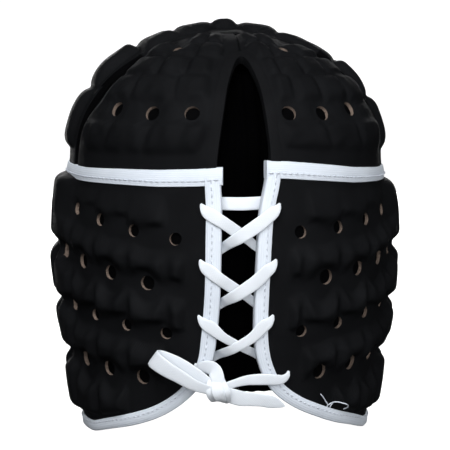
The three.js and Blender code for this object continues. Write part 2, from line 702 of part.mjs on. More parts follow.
const SIDES = [
  { name: 'left', side: -1 },
  { name: 'right', side: 1 },
];
SIDES.forEach(({ name, side }) => {
  const seam = CENTRE_SEAM_X + (side * JOINT) / 2;
  const [from, to] = side > 0 ? [-FAR, seam] : [seam, FAR];
  const otherSide = box(from, to, -FAR, FAR, 0, OVER);
  const frontHalf = box(-FAR, FAR, SEAM_Y - JOINT / 2, FAR, 0, OVER);
  const rearCuts = [archGap(GAP_EDGE + JOINT), otherSide, frontHalf, belowCrown];
  const rearPads = crownPads(side, REAR_ROWS, REAR_TOP, REAR_RISE);
  const rear = panel(foamShell, [rearPads], rearCuts, crownVents(side, REAR_VENTS));
  group.add(node(`rear_crown_${name}`, rear, BLACK_FABRIC));

  const holes = [...lowerVents(side), ...eyelets(side)];
  const lower = panel(lowerFoam, [lowerPads(side)], [outsidePanel(side, BINDING + JOINT)], holes);
  group.add(node(`side_panel_${name}`, lower, BLACK_FABRIC));

  const strip = lowerBinding.subtract(outsidePanel(side, 0)).intersect(outsidePanel(side, BINDING));
  group.add(node(`edge_binding_${name}`, strip, WHITE_BINDING));
});

const rearHalf = box(-FAR, FAR, -FAR, SEAM_Y + JOINT / 2, 0, OVER);
const frontPads = [crownPads(1, frontRows(), FRONT_TOP, FRONT_RISE), ...TOP_PADS.map(topPad)];
const front = panel(foamShell, frontPads, [belowCrown, rearHalf], frontVents());
group.add(node('front_crown', front, BLACK_FABRIC));

const bandRing = bindingShell.intersect(aboveBand(-BAND_WIDTH / 2)).subtract(aboveBand(BAND_WIDTH / 2));
group.add(node('waist_band', bandRing.subtract(bandGap()), WHITE_BINDING));

const archRing = bindingShell.intersect(aboveBand(crownLift)).intersect(archGap(GAP_EDGE));
group.add(node('gap_binding', archRing.subtract(archGap(0)), BLACK_FABRIC));

group.add(node('lacing_gusset', gusset(), BLACK_STRETCH));
group.add(node('lace', lace(), WHITE_LACE));

export default group;
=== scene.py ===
"""Looks of a padded head guard seen from behind: vented foam pads, sewn tapes, a gusset and a flat lace."""
import math

import bmesh
import bpy
import numpy as np
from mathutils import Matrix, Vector
from mathutils.bvhtree import BVHTree


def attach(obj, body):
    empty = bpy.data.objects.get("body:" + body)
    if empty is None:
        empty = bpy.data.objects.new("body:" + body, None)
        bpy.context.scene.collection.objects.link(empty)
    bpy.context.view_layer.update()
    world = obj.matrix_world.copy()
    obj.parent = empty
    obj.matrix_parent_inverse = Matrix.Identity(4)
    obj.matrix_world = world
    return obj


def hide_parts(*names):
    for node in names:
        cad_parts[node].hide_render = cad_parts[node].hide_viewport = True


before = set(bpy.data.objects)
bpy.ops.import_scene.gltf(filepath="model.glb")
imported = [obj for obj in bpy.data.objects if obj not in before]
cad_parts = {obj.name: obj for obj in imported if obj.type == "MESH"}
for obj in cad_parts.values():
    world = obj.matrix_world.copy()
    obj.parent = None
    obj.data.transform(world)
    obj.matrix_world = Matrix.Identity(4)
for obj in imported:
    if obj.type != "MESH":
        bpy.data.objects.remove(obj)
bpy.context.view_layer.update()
MM = 0.001
SHARP_ANGLE = 50
SIDE_NAMES = {-1: "left", 1: "right"}


def table(columns, *rows):
    """Rows of values under named columns."""
    return [dict(zip(columns.split(), row)) for row in rows]


# Form of the guard in millimetres: half sizes of its section by height, and the dome above
WALL_Z = np.array([-6, 0, 15, 40, 65, 95, 115, 130, 145.0])
WALL_WIDE = np.array([75.4, 76, 77.3, 80.4, 84.4, 86.5, 86, 84.3, 83])
WALL_DEEP = np.array([71.8, 73.5, 77.5, 84, 90, 95.5, 97.4, 98, 98])
DOME_BASE = 145
DOME_HEIGHT = 66
FRONT_RATIO = 0.965
SEAM_Y = -26.6
# Foam wall, rise of the pads on it, and vents
FOAM = 4
PAD_RISE = 5.4
REAR_RISE = 3.6
FRONT_RISE = 4.8
VENT_DEPTH = 1.7
VENT_REACH = 2.3
WELD = 0.02
# Tapes: pitch of their points, how far panels stop short of the edge under them, widths, stitches
TAPE_PITCH = 1.5
UNDER_TAPE = 2.2
UNDER_ARCH_TAPE = 1.6
HEM_TAPE = 5.6
CORNER_TAPE = 6.6
LACING_TAPE = {-1: 7.8, 1: 6.9}
ARCH_TAPE = 5.4
BAND_TAPE = 8.8
BAND_SIDE_TAPE = 7.4
STITCH_LENGTH = 2.3
STITCH_GAP = 1.0
STITCH_RADIUS = 0.35
# Band: half gaps at the lacing, height at the back, and dip to the brow between two depths
BAND_GAP = {-1: 10.2, 1: 11.2}
BAND_HEIGHT = 138.5
BROW_DIP = 12
DIP_FROM = 15
DIP_TO = 98

# Edges seen from behind (x from the gap's middle, z) and from the side (y, z)
LACING_EDGE = [(10.4, 146), (9.9, 134), (8.7, 118), (8.6, 77), (9.6, 50.5), (12.8, 38.6), (19.5, 28.3),
               (31.4, 18.4), (47.5, 10), (62.5, 4.2), (71, 0)]
LEFT_EDGE_SHIFT = 1.0
RIGHT_CORNER_SHIFT = 1.4
RIGHT_TOP_SHIFT = 1.6
CHEEK_EDGE = [(20, 0), (31, 8), (37, 26), (41, 62), (47, 98), (56, 128), (62, 146)]
ARCH_EDGE = [(13.2, 134), (13, 146), (11.7, 158), (10, 170), (8.2, 180), (5.7, 188), (2.8, 194), (0, 196.5)]
# Lift of the band and the cloth beside it on each side, by the angle from the back
SETTLE_ANGLES = [0, 7, 13, 25, 40, 60, 78, 95, 140]
SETTLE_LIFTS = {-1: [-0.5, -0.6, -1.4, -2.0, -1.7, -1.7, -0.8, -0.3, 0],
                1: [2.6, 2.6, 2.2, 0.6, -1.4, -2.2, -2.0, -1.8, 0]}
ARCH_PITCH = 1.2
# The gap leans: its middle moves sideways with the height over a pivot, and less so away from it
LEAN = 0.038
LEAN_PIVOT = 125
LEAN_FADE = 30

# Lower pads from the top row down. Line: height under the row, climb to the sides, first padded column.
# Lower edge: its lift, step up towards the gap, arch, and where along a pad (as a part of it) its crease is
# deep and how far that spreads. Upper edge: valley under the line above, notch and slope. Groove: how deep
# the row's upright grooves are, as a part of its height.
LOWER_ROWS = table(
    "line climb first low step arch crease spread valley notch slope groove",
    (108, 8, 1, 0.3, 5.2, 0, 0.2, 0.26, 0.6, 0, 18, 0.25),
    (84.3, 8, 0, 1, 0, 3.4, 0.6, 0.17, 7.5, 1.5, 6, 0.5),
    (58.5, 6, 0, 0.3, 5, 0, 0.3, 0.26, 6.5, 7.5, 6, 0.7),
    (34, 4, 1, 1, 0, 3.4, 0.6, 0.17, 7.5, 1.5, 6, 0.6),
    (12.5, -2, 2, 1, 0, 0, 0.5, 0.4, 6, 7, 6, 0.6))
ROWS_TOP = 131.5
# Grid of a lower panel round and up, and the shape of its pads
PANEL_STEP = 0.9
PANEL_ROUND = (5, 216)
PANEL_UP = (0.4, 137.5)
NARROW_PAD = 12
NARROW_SHARE = 0.25
PAD_FALL = 4.6
PAD_LEAN = 0.17
PAD_LEAN_REACH = 13
PAD_FULLNESS = (0.92, 1.04)
# Side pads: where they begin, as an angle from the back, over what turn, and how they differ
SIDE_FROM = 66
SIDE_TURN = 17
SIDE_RISE = 1.8
SIDE_LEAN = 0.07
SIDE_SLOPE = 7
SIDE_FLOOR = 3
SIDE_CREST = {-1: 4, 1: 2.5}
SIDE_CREST_SLOPE = {-1: 5, 1: 9}
COLUMN_PITCH = 22.8
COLUMNS_END = 168
COLUMN_EDGES = {-1: [27] + [min(37.6 + COLUMN_PITCH * k, COLUMNS_END) for k in range(7)],
                1: [23.5] + [min(32 + COLUMN_PITCH * k, COLUMNS_END) for k in range(7)]}
# Lower vents from the top line down: first distance and depth under the line on the left and right, radius
LOWER_VENTS = table(
    "left right left_drop right_drop radius",
    (33.5, 30.3, 1.4, 1.2, 3.2),
    (49, 46.5, 3.0, 1.5, 3.9),
    (38.5, 32.5, 1.5, 0.3, 3.1),
    (51.7, 44.5, 1.4, -1.5, 3.9))
VENT_PITCH = 23.4
VENT_COLUMNS = 4
ROUND_RATIO = 1.02
LINE_SWEEP = 1.9
LINE_LEVEL_FROM = 95

# Rear crown pads in degrees: rise of each row's lower and upper line, roundings of both in millimetres,
# edges that are flush with the next pad, lean, and column edges on the left (-1) and right (1)
REAR_ROWS = table(
    "line top low high flush slant edges",
    (4.5, 16.5, 9, 2.5, [1], {-1: 0.42, 1: 0.28},
     {-1: [12.5, 21, 33.5, 50.5, 68], 1: [12.5, 21, 32.5, 49, 68]}),
    (25.5, 38.2, 3, 4, [], {-1: -0.1, 1: -0.1}, {-1: [11.5, 26, 45, 66], 1: [11.5, 22.5, 34.6, 50, 66]}),
    (38.6, 48.6, 3, 3, [], {-1: 0, 1: 0}, {-1: [12, 23.6, 37.3, 62], 1: [12, 20, 32, 47, 62]}),
    (49.4, 59, 3, 3, [], {-1: 0, 1: 0}, {-1: [7, 22, 39, 56], 1: [7, 22, 39, 56]}),
    (60, 74, 3, 4, [], {-1: 0, 1: 0}, {-1: [8, 20, 33], 1: [8, 20, 33]}))
REAR_SLOPE = 4.5
REAR_TOP = 74.2
REAR_VENTS = table(
    "left right rise radius",
    (17.8, 17.8, 20.6, 3.9),
    (33.2, 32.3, 20.4, 3.9),
    (50.3, 48.6, 22, 3.9),
    (36.6, 33.1, 55.6, 2.7))
# Seam across the head: its fold is painted with the dark lining as painted shade up to a rise, and on the
# left it gapes most at another
SEAM_SHADE_TO = 52
SEAM_WIDTH = 2.5
GAPE = dict(wide=14, rise=33, spread=16)
# Front rows: lower line, tilt down to the right, first column edge, edge roundings, fullness at each side
FRONT_COLUMNS = 10
FRONT_ROWS = table(
    "line tilt start flush low high right left",
    (4, 0, 78, [], 8, 9, 0.85, 0.95),
    (29.2, 2.2, 75, [], 17, 4, 1.1, 1.25),
    (50.7, 4.8, 62, [1, 3, 5, 7, 9], 10, 7, 0.7, 0.95))
FRONT_TOP = 71
FRONT_SLOPE = 7
FORM_TOP = 89.6
CROWN_RADIUS = 92
CROWN_FULLNESS = (0.82, 1.0)
FLUSH = 0.85
FRONT_VENTS = [98, 139, 221, 262]
FRONT_VENT_RADIUS = 3.9
TOP_PADS = table(
    "x y wide deep rise",
    (-16.5, 2, 11.5, 21, 4.4),
    (17, 2, 11.5, 21, 4.2),
    (-0.5, 5, 7.5, 9, 5.8))

# Loose thread on the right hem: paths of (x, z, lift off the cloth)
THREAD_RADIUS = 0.32
THREAD_SIDES = 8
THREAD_PATHS = [
    [(42.4, 25.4, 0.6), (44.2, 22.8, 0.8), (45.7, 20.5, 0.8), (46.6, 18.9, 0.6), (46.2, 17, 0.2)],
    [(46.6, 19, 0.9), (48.3, 20, 1.2), (50.1, 20.5, 1.6), (51.8, 20.3, 1.6), (53.7, 19.3, 1.2),
     (54.8, 17.6, 0.8), (54.8, 15.6, 0.3)],
    [(50, 20.2, 0.6), (48.9, 18.9, 0.5), (48.2, 17.5, 0.4), (48.4, 16, 0.2)]]

# Gusset behind the gap: (half width, z), and its depth in the middle and at its sewn sides
GUSSET = [(33, 25), (33, 140), (28, 172), (20, 190), (13, 203)]
GUSSET_FACE = -9.6
GUSSET_RIM = -5.3
GUSSET_THICK = 1.2

# Lace: extra sag of the lower crossings, and eyelets, each with its z and its distance from the lacing edge
LACE_THICK = 0.9
LACE_STEPS = 8
LACE_SIDES = 18
LOW_SAG = [0, 0.8, 1.6]
EYELETS = table(
    "left_z right_z left right",
    (124.5, 124.5, 11, 9.4),
    (97, 97, 10.8, 9.4),
    (69, 69, 10, 9.4),
    (43.8, 39.2, 8.2, 15.6))
# Runs of the lace's tied end as rows of (x, z, height over the form, width)
RIGHT_RUN = [(17.4, 36.1, 2.6, 5.6), (10.7, 36.6, 2.5, 6.1), (3.4, 36.5, 2.8, 5.4), (-2.5, 35.8, 4.6, 4.4),
             (-8, 34.4, 6, 3.8)]
LEFT_RUN = [(-15.8, 43.6, 3.4, 7.2), (-12.8, 43, 4.8, 7.8), (-11, 40.4, 6.2, 7), (-10.4, 36.6, 7, 6.2),
            (-10.4, 33.4, 6.4, 5)]
BOW_REAR = [(-11.5, 33.8, 5.4, 4.6), (-20.8, 40.7, 6.6, 7.8), (-27.9, 45.6, 7.4, 8.8),
            (-33.5, 48, 7.8, 9.6), (-36.8, 49.4, 8.6, 9.8)]
BOW_FOLD = [(-38.3, 50.3, 10.2, 9.8)]
BOW_FRONT = [(-36.6, 48.9, 11.8, 9.6), (-32, 45.4, 12.2, 8.8), (-27.1, 41.9, 11.6, 7.8),
             (-20.2, 36.5, 9.8, 6.4), (-12.6, 33, 7.4, 5)]
BOW_LIE = 50
TAIL = [(-8.5, 31.6, 5.6, 6), (-4.3, 29.7, 5.4, 8), (0.4, 27.9, 4.8, 8.2), (5.3, 27.1, 4.2, 7.6),
        (10.7, 26.1, 3.6, 7), (15.8, 24.6, 3.2, 6.6), (19.4, 23.2, 3, 4.2), (22.3, 21.9, 2.8, 1)]
# Knot: where its middle is, and its turns, each with its place at the foot and the head and its swell
KNOT_X = -10
KNOT_TURNS = table("foot head swell", (-1.8, -3.4, 8.6), (3.6, 1.4, 8.8), (1.2, -1.2, 9.8))

# Materials: depth of bump in metres, fuzz and noise of cloth and foam, and the order of a panel's materials
BUMP_DEPTH = 0.0003
SHEEN_ROUGHNESS = 0.45
FUZZ = 0.5
SLUB_SCALE = 1900.0
WEAR_SCALE = 55.0
FOAM_CELLS = 1700.0
CLOTH_TINT, FOAM_TINT, LINING_AND_SEAM_SHADE_TINT = range(3)

# Studio in metres, watts and degrees: round floor that turns up into a wall, lamps and camera
FLOOR_FLAT = 2.0
FLOOR_BEND = 0.9
FLOOR_WALL = 3.6
FLOOR_GLOW = 0.95
LAMP_AIM = (0, 0, 0.11)
LAMPS = table(
    "name place size power",
    ("key", (-0.5, -1.3, 1.4), 1.0, 34),
    ("fill", (0.9, -1.5, 0.6), 1.2, 16),
    ("front", (-0.3, -1.7, 0.3), 1.4, 16),
    ("top", (0.1, 0.2, 1.7), 1.4, 3),
    ("far_left", (-0.3, 1.8, 0.35), 1.0, 16),
    ("far_right", (0.3, 1.8, 0.35), 1.0, 16))
CAMERA_TURN = -5
CAMERA_AWAY = 1.0
CAMERA_HEIGHT = 0.1905
CAMERA_AIM = (0, 0, 0.106)
CAMERA_LENS = 149


# Form
def wall_size(z, sizes):
    """Half size of the section at height z, on a smooth curve through the table."""
    slopes = np.empty(len(sizes))
    slopes[1:-1] = (sizes[2:] - sizes[:-2]) / (WALL_Z[2:] - WALL_Z[:-2])
    slopes[0] = (sizes[1] - sizes[0]) / (WALL_Z[1] - WALL_Z[0])
    slopes[-1] = (sizes[-1] - sizes[-2]) / (WALL_Z[-1] - WALL_Z[-2])
    k = np.clip(np.searchsorted(WALL_Z, z) - 1, 0, len(sizes) - 2)
    span = WALL_Z[k + 1] - WALL_Z[k]
    t = (z - WALL_Z[k]) / span
    ease = smooth(t)
    bend = slopes[k] * span * t * (1 - t) ** 2 + slopes[k + 1] * span * t * t * (t - 1)
    return sizes[k] * (1 - ease) + sizes[k + 1] * ease + bend


def rise_at(z):
    part = (np.asarray(z, float) - DOME_BASE) / DOME_HEIGHT
    return np.degrees(np.where(part < 0, part, np.arcsin(np.clip(part, 0, 1))))


def height_at(rise):
    climb = np.radians(rise)
    return DOME_BASE + DOME_HEIGHT * np.where(climb < 0, climb, np.sin(climb))


def half_sizes(rise):
    z = np.minimum(height_at(rise), DOME_BASE)
    shrink = np.where(np.asarray(rise) < 0, 1, np.cos(np.radians(rise)))
    return shrink * wall_size(z, WALL_WIDE), shrink * wall_size(z, WALL_DEEP)


def bare_point(theta, rise):
    """Points of the bare form at angles from the back and rises, both in degrees."""
    theta, rise = np.broadcast_arrays(np.asarray(theta, float), np.asarray(rise, float))
    turn = np.radians(theta)
    wide, deep = half_sizes(rise)
    deep = deep * np.where(np.cos(turn) < 0, FRONT_RATIO, 1)
    return np.stack([wide * np.sin(turn), -deep * np.cos(turn), height_at(rise)], axis=-1)


def form_normal(theta, rise):
    step = 0.2
    level = np.minimum(rise, 90 - 2 * step)
    around = bare_point(theta + step, level) - bare_point(theta - step, level)
    up = bare_point(theta, level + step) - bare_point(theta, level - step)
    return unit(np.cross(around, up))


def form_point(theta, rise, offset):
    return bare_point(theta, rise) + form_normal(theta, rise) * np.asarray(offset, float)[..., None]


def theta_at(x, z):
    wide, _ = half_sizes(rise_at(z))
    return np.degrees(np.arcsin(np.clip(x / wide, -1, 1)))


def gap_middle(z, away=0.0):
    fade = np.maximum(0, 1 - np.maximum(0, np.asarray(away, float) - 10) / LEAN_FADE)
    return LEAN * (np.asarray(z, float) - LEAN_PIVOT) * fade


def band_height(y):
    return BAND_HEIGHT - BROW_DIP * smooth((y - DIP_FROM) / (DIP_TO - DIP_FROM))


def smooth(t):
    t = np.clip(t, 0, 1)
    return t * t * (3 - 2 * t)


def ramp(t, soft=0.3):
    """Straight rise from 0 to 1 with a softened top."""
    t = np.clip(t, 0, 1 + soft)
    return np.where(t < 1 - soft, t, 1 - (1 + soft - t) ** 2 / (4 * soft))


def bulge(t):
    """Quarter-round rise from 0 to 1, steep at its start."""
    return np.sqrt(1 - (1 - np.clip(t, 0, 1)) ** 2)


# Lines
def spline(points, steps):
    """Catmull-Rom line through points, with that many steps between each two."""
    points = np.asarray(points, float)
    ends = np.vstack([2 * points[0] - points[1], points, 2 * points[-1] - points[-2]])
    t = np.linspace(0, 1, steps, endpoint=False)[:, None]
    parts = []
    for a, b, c, d in zip(ends, ends[1:], ends[2:], ends[3:]):
        parts.append(0.5 * (2 * b + (c - a) * t + (2 * a - 5 * b + 4 * c - d) * t ** 2
                            + (3 * b - a - 3 * c + d) * t ** 3))
    return np.vstack(parts + [points[-1:]])


def run_along(points):
    """Distance of each point of a line from its start."""
    return np.concatenate([[0], np.cumsum(np.linalg.norm(np.diff(points, axis=0), axis=1))])


def sampled(values, run, at):
    """Rows of a table that goes with a line, read at distances along it."""
    return np.stack([np.interp(at, run, column) for column in values.T], axis=1)


def even_line(points, pitch):
    """The same line with points at an even pitch."""
    run = run_along(points)
    count = max(2, int(round(run[-1] / pitch)) + 1)
    return sampled(points, run, np.linspace(0, run[-1], count))


def eased(line, rounds):
    """The same line with its corners rounded a little more in each round."""
    for _ in range(rounds):
        line[1:-1] = (line[:-2] + 2 * line[1:-1] + line[2:]) / 4
    return line


def on_form(points):
    """Angle and rise of points that lie on the form."""
    rise = rise_at(points[..., 2])
    wide, deep = half_sizes(rise)
    front = np.where(points[..., 1] > 0, FRONT_RATIO, 1)
    return np.degrees(np.arctan2(points[..., 0] / wide, -points[..., 1] / (deep * front))), rise


def lacing_line(side):
    """Lacing edge and hem corner on the form, from the band down, for the side +1 or -1 mirrored to +x."""
    x, z = spline(LACING_EDGE, 8).T
    x = x + side * gap_middle(z, x)
    if side < 0:
        x = x + LEFT_EDGE_SHIFT * smooth((z - 75) / 40)
    else:
        x = x + RIGHT_CORNER_SHIFT * np.exp(-((z - 42) / 12) ** 2)
        x = x + RIGHT_TOP_SHIFT * smooth((z - 112) / 24)
    return bare_point(theta_at(x, z), rise_at(z))


def cheek_line():
    y, z = spline(CHEEK_EDGE, 8).T
    rise = rise_at(z)
    _, deep = half_sizes(rise)
    return bare_point(np.degrees(np.arccos(-y / (deep * FRONT_RATIO))), rise)


def side_edge(side):
    """The whole taped edge of a side panel: lacing edge, hem and cheek edge."""
    back, cheek = lacing_line(side), cheek_line()
    start, end = on_form(back[-1])[0], on_form(cheek[0])[0]
    hem = bare_point(np.linspace(start, end, 14)[1:-1], rise_at(0))
    line = eased(even_line(np.vstack([back, hem, cheek]), TAPE_PITCH), 6)
    return line[line[:, 2] < band_height(line[:, 1]) + 1]


def settled(points):
    """The band and the cloth beside it sit askew: up at the right of the gap, down at its left."""
    x, y, z = points.T
    theta = np.degrees(np.arctan2(abs(x), -y))
    level = smooth((z - 55) / 55) * (1 - smooth((z - 143) / 20))
    right, left = (np.interp(theta, SETTLE_ANGLES, SETTLE_LIFTS[side]) for side in (1, -1))
    return np.stack([x, y, z + np.where(x > 0, right, left) * level], axis=1)


def arch_line():
    """Edge of the arched gap from the left end at the band, over the top, to the right end."""
    half, z = spline(ARCH_EDGE, 6).T
    middle = gap_middle(z, half)
    x = np.concatenate([middle - half, (middle + half)[-2::-1]])
    z = np.concatenate([z, z[-2::-1]])
    return even_line(bare_point(theta_at(x, z), rise_at(z)), ARCH_PITCH)


def distance_to(points, line):
    """Distance of each point to the nearest point of a dense line."""
    flat = points.reshape(-1, 3)
    nearest = np.concatenate([
        np.sqrt(((block[:, None, :] - line[None]) ** 2).sum(axis=2).min(axis=1))
        for block in np.array_split(flat, max(1, len(flat) // 4000))])
    return nearest.reshape(points.shape[:-1])


# Meshes
def mesh_object(name, points, faces, uv=None, tints=None):
    """A smooth-shaded object from points in millimetres, with cloth coordinates and face materials."""
    mesh = bpy.data.meshes.new(name)
    mesh.from_pydata((np.asarray(points) * MM).tolist(), [], np.asarray(faces, object).tolist())
    mesh.polygons.foreach_set("use_smooth", np.ones(len(mesh.polygons), bool))
    if uv is not None:
        corners = np.empty(len(mesh.loops), np.int32)
        mesh.loops.foreach_get("vertex_index", corners)
        mesh.uv_layers.new(name="cloth").data.foreach_set("uv", np.asarray(uv, np.float32)[corners].ravel())
    if tints is not None:
        mesh.polygons.foreach_set("material_index", np.asarray(tints, np.int32))
    mesh.set_sharp_from_angle(angle=math.radians(SHARP_ANGLE))
    mesh.update()
    piece = bpy.data.objects.new(name, mesh)
    bpy.context.scene.collection.objects.link(piece)
    return piece


def mend(piece, weld=0.0):
    """Turns all faces outwards and, where a grid closes on itself, joins the points that meet."""
    work = bmesh.new()
    work.from_mesh(piece.data)
    if weld:
        bmesh.ops.remove_doubles(work, verts=work.verts, dist=weld)
    bmesh.ops.recalc_face_normals(work, faces=work.faces)
    work.to_mesh(piece.data)
    work.free()


def dress(piece, node, slot, *materials):
    """Gives a piece its materials, and lets it stand for a node of the frame."""
    for item in materials:
        piece.data.materials.append(item)
    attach(piece, "root")
    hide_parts(node)


def sewn(name, node, slot, look, part):
    """A dressed piece from swept parts that are closed in themselves."""
    piece = mesh_object(name, *part)
    mend(piece)
    dress(piece, node, slot, look)


def grid_faces(rows, columns):
    """Numbers of a grid's points, and the four round each of its faces."""
    index = np.arange(rows * columns).reshape(rows, columns)
    return index, np.stack([index[:-1, :-1], index[:-1, 1:], index[1:, 1:], index[1:, :-1]], axis=-1)


def round_section(sides):
    turns = np.linspace(0, 2 * math.pi, sides, endpoint=False)
    return np.array([(math.cos(t), math.sin(t)) for t in turns])


def sweep(points, across, normal, section):
    """A closed section of (across, normal) pairs, one per point or one for all, swept along points."""
    count = len(points)
    section = np.broadcast_to(np.asarray(section, float), (count,) + np.asarray(section).shape[-2:])
    rings = (points[:, None] + across[:, None] * section[..., :1] + normal[:, None] * section[..., 1:])
    size = section.shape[1]
    index = np.arange(count * size).reshape(count, size)
    turned = np.roll(index, -1, axis=1)
    faces = np.stack([index[:-1], turned[:-1], turned[1:], index[1:]], axis=-1).reshape(-1, 4).tolist()
    faces += [index[0][::-1].tolist(), index[-1].tolist()]
    run = run_along(points)
    reach = np.cumsum(np.linalg.norm(section - np.roll(section, 1, axis=1), axis=2), axis=1)
    uv = np.stack([np.broadcast_to(run[:, None], reach.shape), reach], axis=-1).reshape(-1, 2)
    return rings.reshape(-1, 3), faces, uv


def unit(vectors):
    return vectors / np.linalg.norm(vectors, axis=-1, keepdims=True)


def line_frames(line):
    """The directions across a line that lies on the form and out of the form."""
    normal = form_normal(*on_form(line))
    return unit(np.cross(normal, unit(np.gradient(line, axis=0)))), normal


def joined(parts):
    """One list of points, faces and coordinates from several."""
    points, faces, uvs, base = [], [], [], 0
    for part_points, part_faces, part_uv in parts:
        points.append(part_points)
        uvs.append(part_uv)
        faces += [[base + k for k in face] for face in part_faces]
        base += len(part_points)
    return np.vstack(points), faces, np.vstack(uvs)


# Materials
def connect(tree, node, values):
    """Sets a node's sockets, by number or name, to a value or to another node's output."""
    for socket, value in values.items():
        if hasattr(value, "is_output"):
            tree.links.new(value, node.inputs[socket])
        else:
            node.inputs[socket].default_value = value


def add_node(tree, kind, values=None, **settings):
    """A shader node with its settings and sockets."""
    made = tree.nodes.new("ShaderNode" + kind)
    for key, value in settings.items():
        setattr(made, key, value)
    connect(tree, made, values or {})
    return made


def maths(tree, operation, *values):
    return add_node(tree, "Math", dict(enumerate(values)), operation=operation).outputs[0]


def new_material(name):
    """A material, its node tree, its shader and a node with coordinates."""
    made = bpy.data.materials.new(name)
    made.use_nodes = True
    tree = made.node_tree
    return made, tree, tree.nodes["Principled BSDF"], add_node(tree, "TexCoord")


def noise(tree, place, scale, detail):
    values = {"Vector": place.outputs["Object"], "Scale": scale, "Detail": detail}
    return add_node(tree, "TexNoise", values).outputs[0]


def two_tones(tree, blend, dark, light, start=0.0, end=1.0):
    """Colour between two tones, by a value that goes from start to end."""
    tones = add_node(tree, "ValToRGB", {0: blend})
    for element, tone, position in zip(tones.color_ramp.elements, (dark, light), (start, end)):
        element.position = position
        element.color = tone + (1,)
    return tones.outputs[0]


def bump_normal(tree, height, strength):
    values = {"Height": height, "Strength": strength, "Distance": BUMP_DEPTH}
    return add_node(tree, "Bump", values).outputs[0]


def cloth(name, dark, light, pitch, bump, rough, sheen=0.0, ribs=(1, 1), specular=0.3, stripe=0.28):
    """Woven or knitted cloth: two colours mixed by its threads and by slow wear, with thread bump."""
    made, tree, shader, place = new_material(name)
    turn = math.pi / pitch
    sized = add_node(tree, "VectorMath",
                     {0: place.outputs["UV"], 1: (turn * ribs[0], turn * ribs[1], 0)}, operation="MULTIPLY")
    apart = add_node(tree, "SeparateXYZ", {0: sized.outputs[0]})
    along, across = (maths(tree, "SINE", apart.outputs[axis]) for axis in range(2))
    thread = maths(tree, "MULTIPLY", along if ribs[0] else 1.0, across)
    height = maths(tree, "MULTIPLY_ADD", noise(tree, place, SLUB_SCALE, 3.0), FUZZ, thread)
    blend = maths(tree, "MULTIPLY_ADD", thread, stripe, noise(tree, place, WEAR_SCALE, 4.0))
    connect(tree, shader, {"Base Color": two_tones(tree, blend, dark, light, 0.2, 0.85),
                           "Normal": bump_normal(tree, height, bump), "Roughness": rough,
                           "Specular IOR Level": specular, "Sheen Weight": sheen,
                           "Sheen Roughness": SHEEN_ROUGHNESS})
    made.diffuse_color = light + (1,)
    return made


def foam_material(name, dark, light):
    """Cut foam: fine cells in two tans."""
    made, tree, shader, place = new_material(name)
    values = {"Vector": place.outputs["Object"], "Scale": FOAM_CELLS}
    cells = add_node(tree, "TexVoronoi", values).outputs["Distance"]
    connect(tree, shader, {"Base Color": two_tones(tree, cells, dark, light),
                           "Normal": bump_normal(tree, cells, 0.5), "Roughness": 0.9})
    return made


BLACK = cloth("black_jersey", (0.0042, 0.0044, 0.0050), (0.0071, 0.0075, 0.0085),
              pitch=0.45, bump=0.3, rough=0.6, specular=0.02)
# Black lining inside the panels and at the floors of the vents; the same material is put on the seam's fold
# as painted shade
LINING_AND_SEAM_SHADE = cloth("black_lining_and_seam_shade", (0.0012, 0.0012, 0.0014), (0.0024, 0.0024, 0.0027),
               pitch=0.7, bump=0.3, rough=0.8, specular=0.0)
TRIM = cloth("black_trim", (0.0044, 0.0046, 0.0052), (0.0074, 0.0077, 0.0086),
             pitch=0.45, bump=0.3, rough=0.6, specular=0.02)
# Black stretch of the gusset, far darker than the other black cloth: its own black with painted shade of
# the deep gap in its colour
STRETCH_WITH_PAINTED_SHADE = cloth("black_stretch", (0.0004, 0.0004, 0.0005), (0.0008, 0.0008, 0.0009),
                pitch=0.5, bump=0.25, rough=0.85, specular=0.0)
TAPE_WHITE = cloth("white_tape", (0.54, 0.59, 0.66), (0.63, 0.68, 0.75),
                   pitch=0.55, bump=0.12, rough=0.75, sheen=0.03, ribs=(0, 1), stripe=0.1)
LACE_WHITE = cloth("white_lace", (0.60, 0.64, 0.69), (0.68, 0.72, 0.77),
                   pitch=0.6, bump=0.14, rough=0.7, sheen=0.03, ribs=(0.8, 1.2), stripe=0.05)
THREAD = cloth("white_thread", (0.50, 0.54, 0.61), (0.60, 0.64, 0.71), pitch=0.3, bump=0.4, rough=0.7)
TAN_FOAM = foam_material("tan_foam", (0.07, 0.05, 0.039), (0.19, 0.142, 0.114))


# Padded panels
def degree_lengths(theta, rise):
    """Millimetres on the form per degree of angle and per degree of rise."""
    return [np.linalg.norm(bare_point(theta + turn, rise + climb) - bare_point(theta - turn, rise - climb))
            for turn, climb in ((0.5, 0), (0, 0.5))]


def open_vents(theta, rise, vents):
    """Draws grid points into rings around each vent and says which faces lie in a vent."""
    holes = np.zeros((theta.shape[0] - 1, theta.shape[1] - 1), bool)
    for centre_theta, centre_rise, radius in vents:
        points = bare_point(theta, rise)
        centre = bare_point(centre_theta, centre_rise)
        row, column = np.unravel_index(((points - centre) ** 2).sum(axis=2).argmin(), theta.shape)
        wide = np.linalg.norm(points[row, column + 1] - points[row, column])
        tall = np.linalg.norm(points[row + 1, column] - points[row, column])
        ring_i = max(3, int(round(radius / wide)))
        ring_j = max(3, int(round(radius / tall)))
        far_i, far_j = math.ceil(ring_i * VENT_REACH), math.ceil(ring_j * VENT_REACH)
        j, i = np.mgrid[max(-far_j, -row):min(far_j + 1, theta.shape[0] - row),
                        max(-far_i, -column):min(far_i + 1, theta.shape[1] - column)]
        a, b = i / ring_i, j / ring_j
        ring = np.maximum(abs(a), abs(b))
        length = np.maximum(np.hypot(a, b), 1e-9)
        step_theta, step_rise = degree_lengths(centre_theta, centre_rise)
        pull = smooth((VENT_REACH - ring) / (VENT_REACH - 1))
        at = row + j, column + i
        theta[at] = theta[at] * (1 - pull) + pull * (centre_theta + ring * radius * a / length / step_theta)
        rise[at] = rise[at] * (1 - pull) + pull * (centre_rise + ring * radius * b / length / step_rise)
        holes[row - ring_j:row + ring_j, column - ring_i:column + ring_i] = True
    return holes


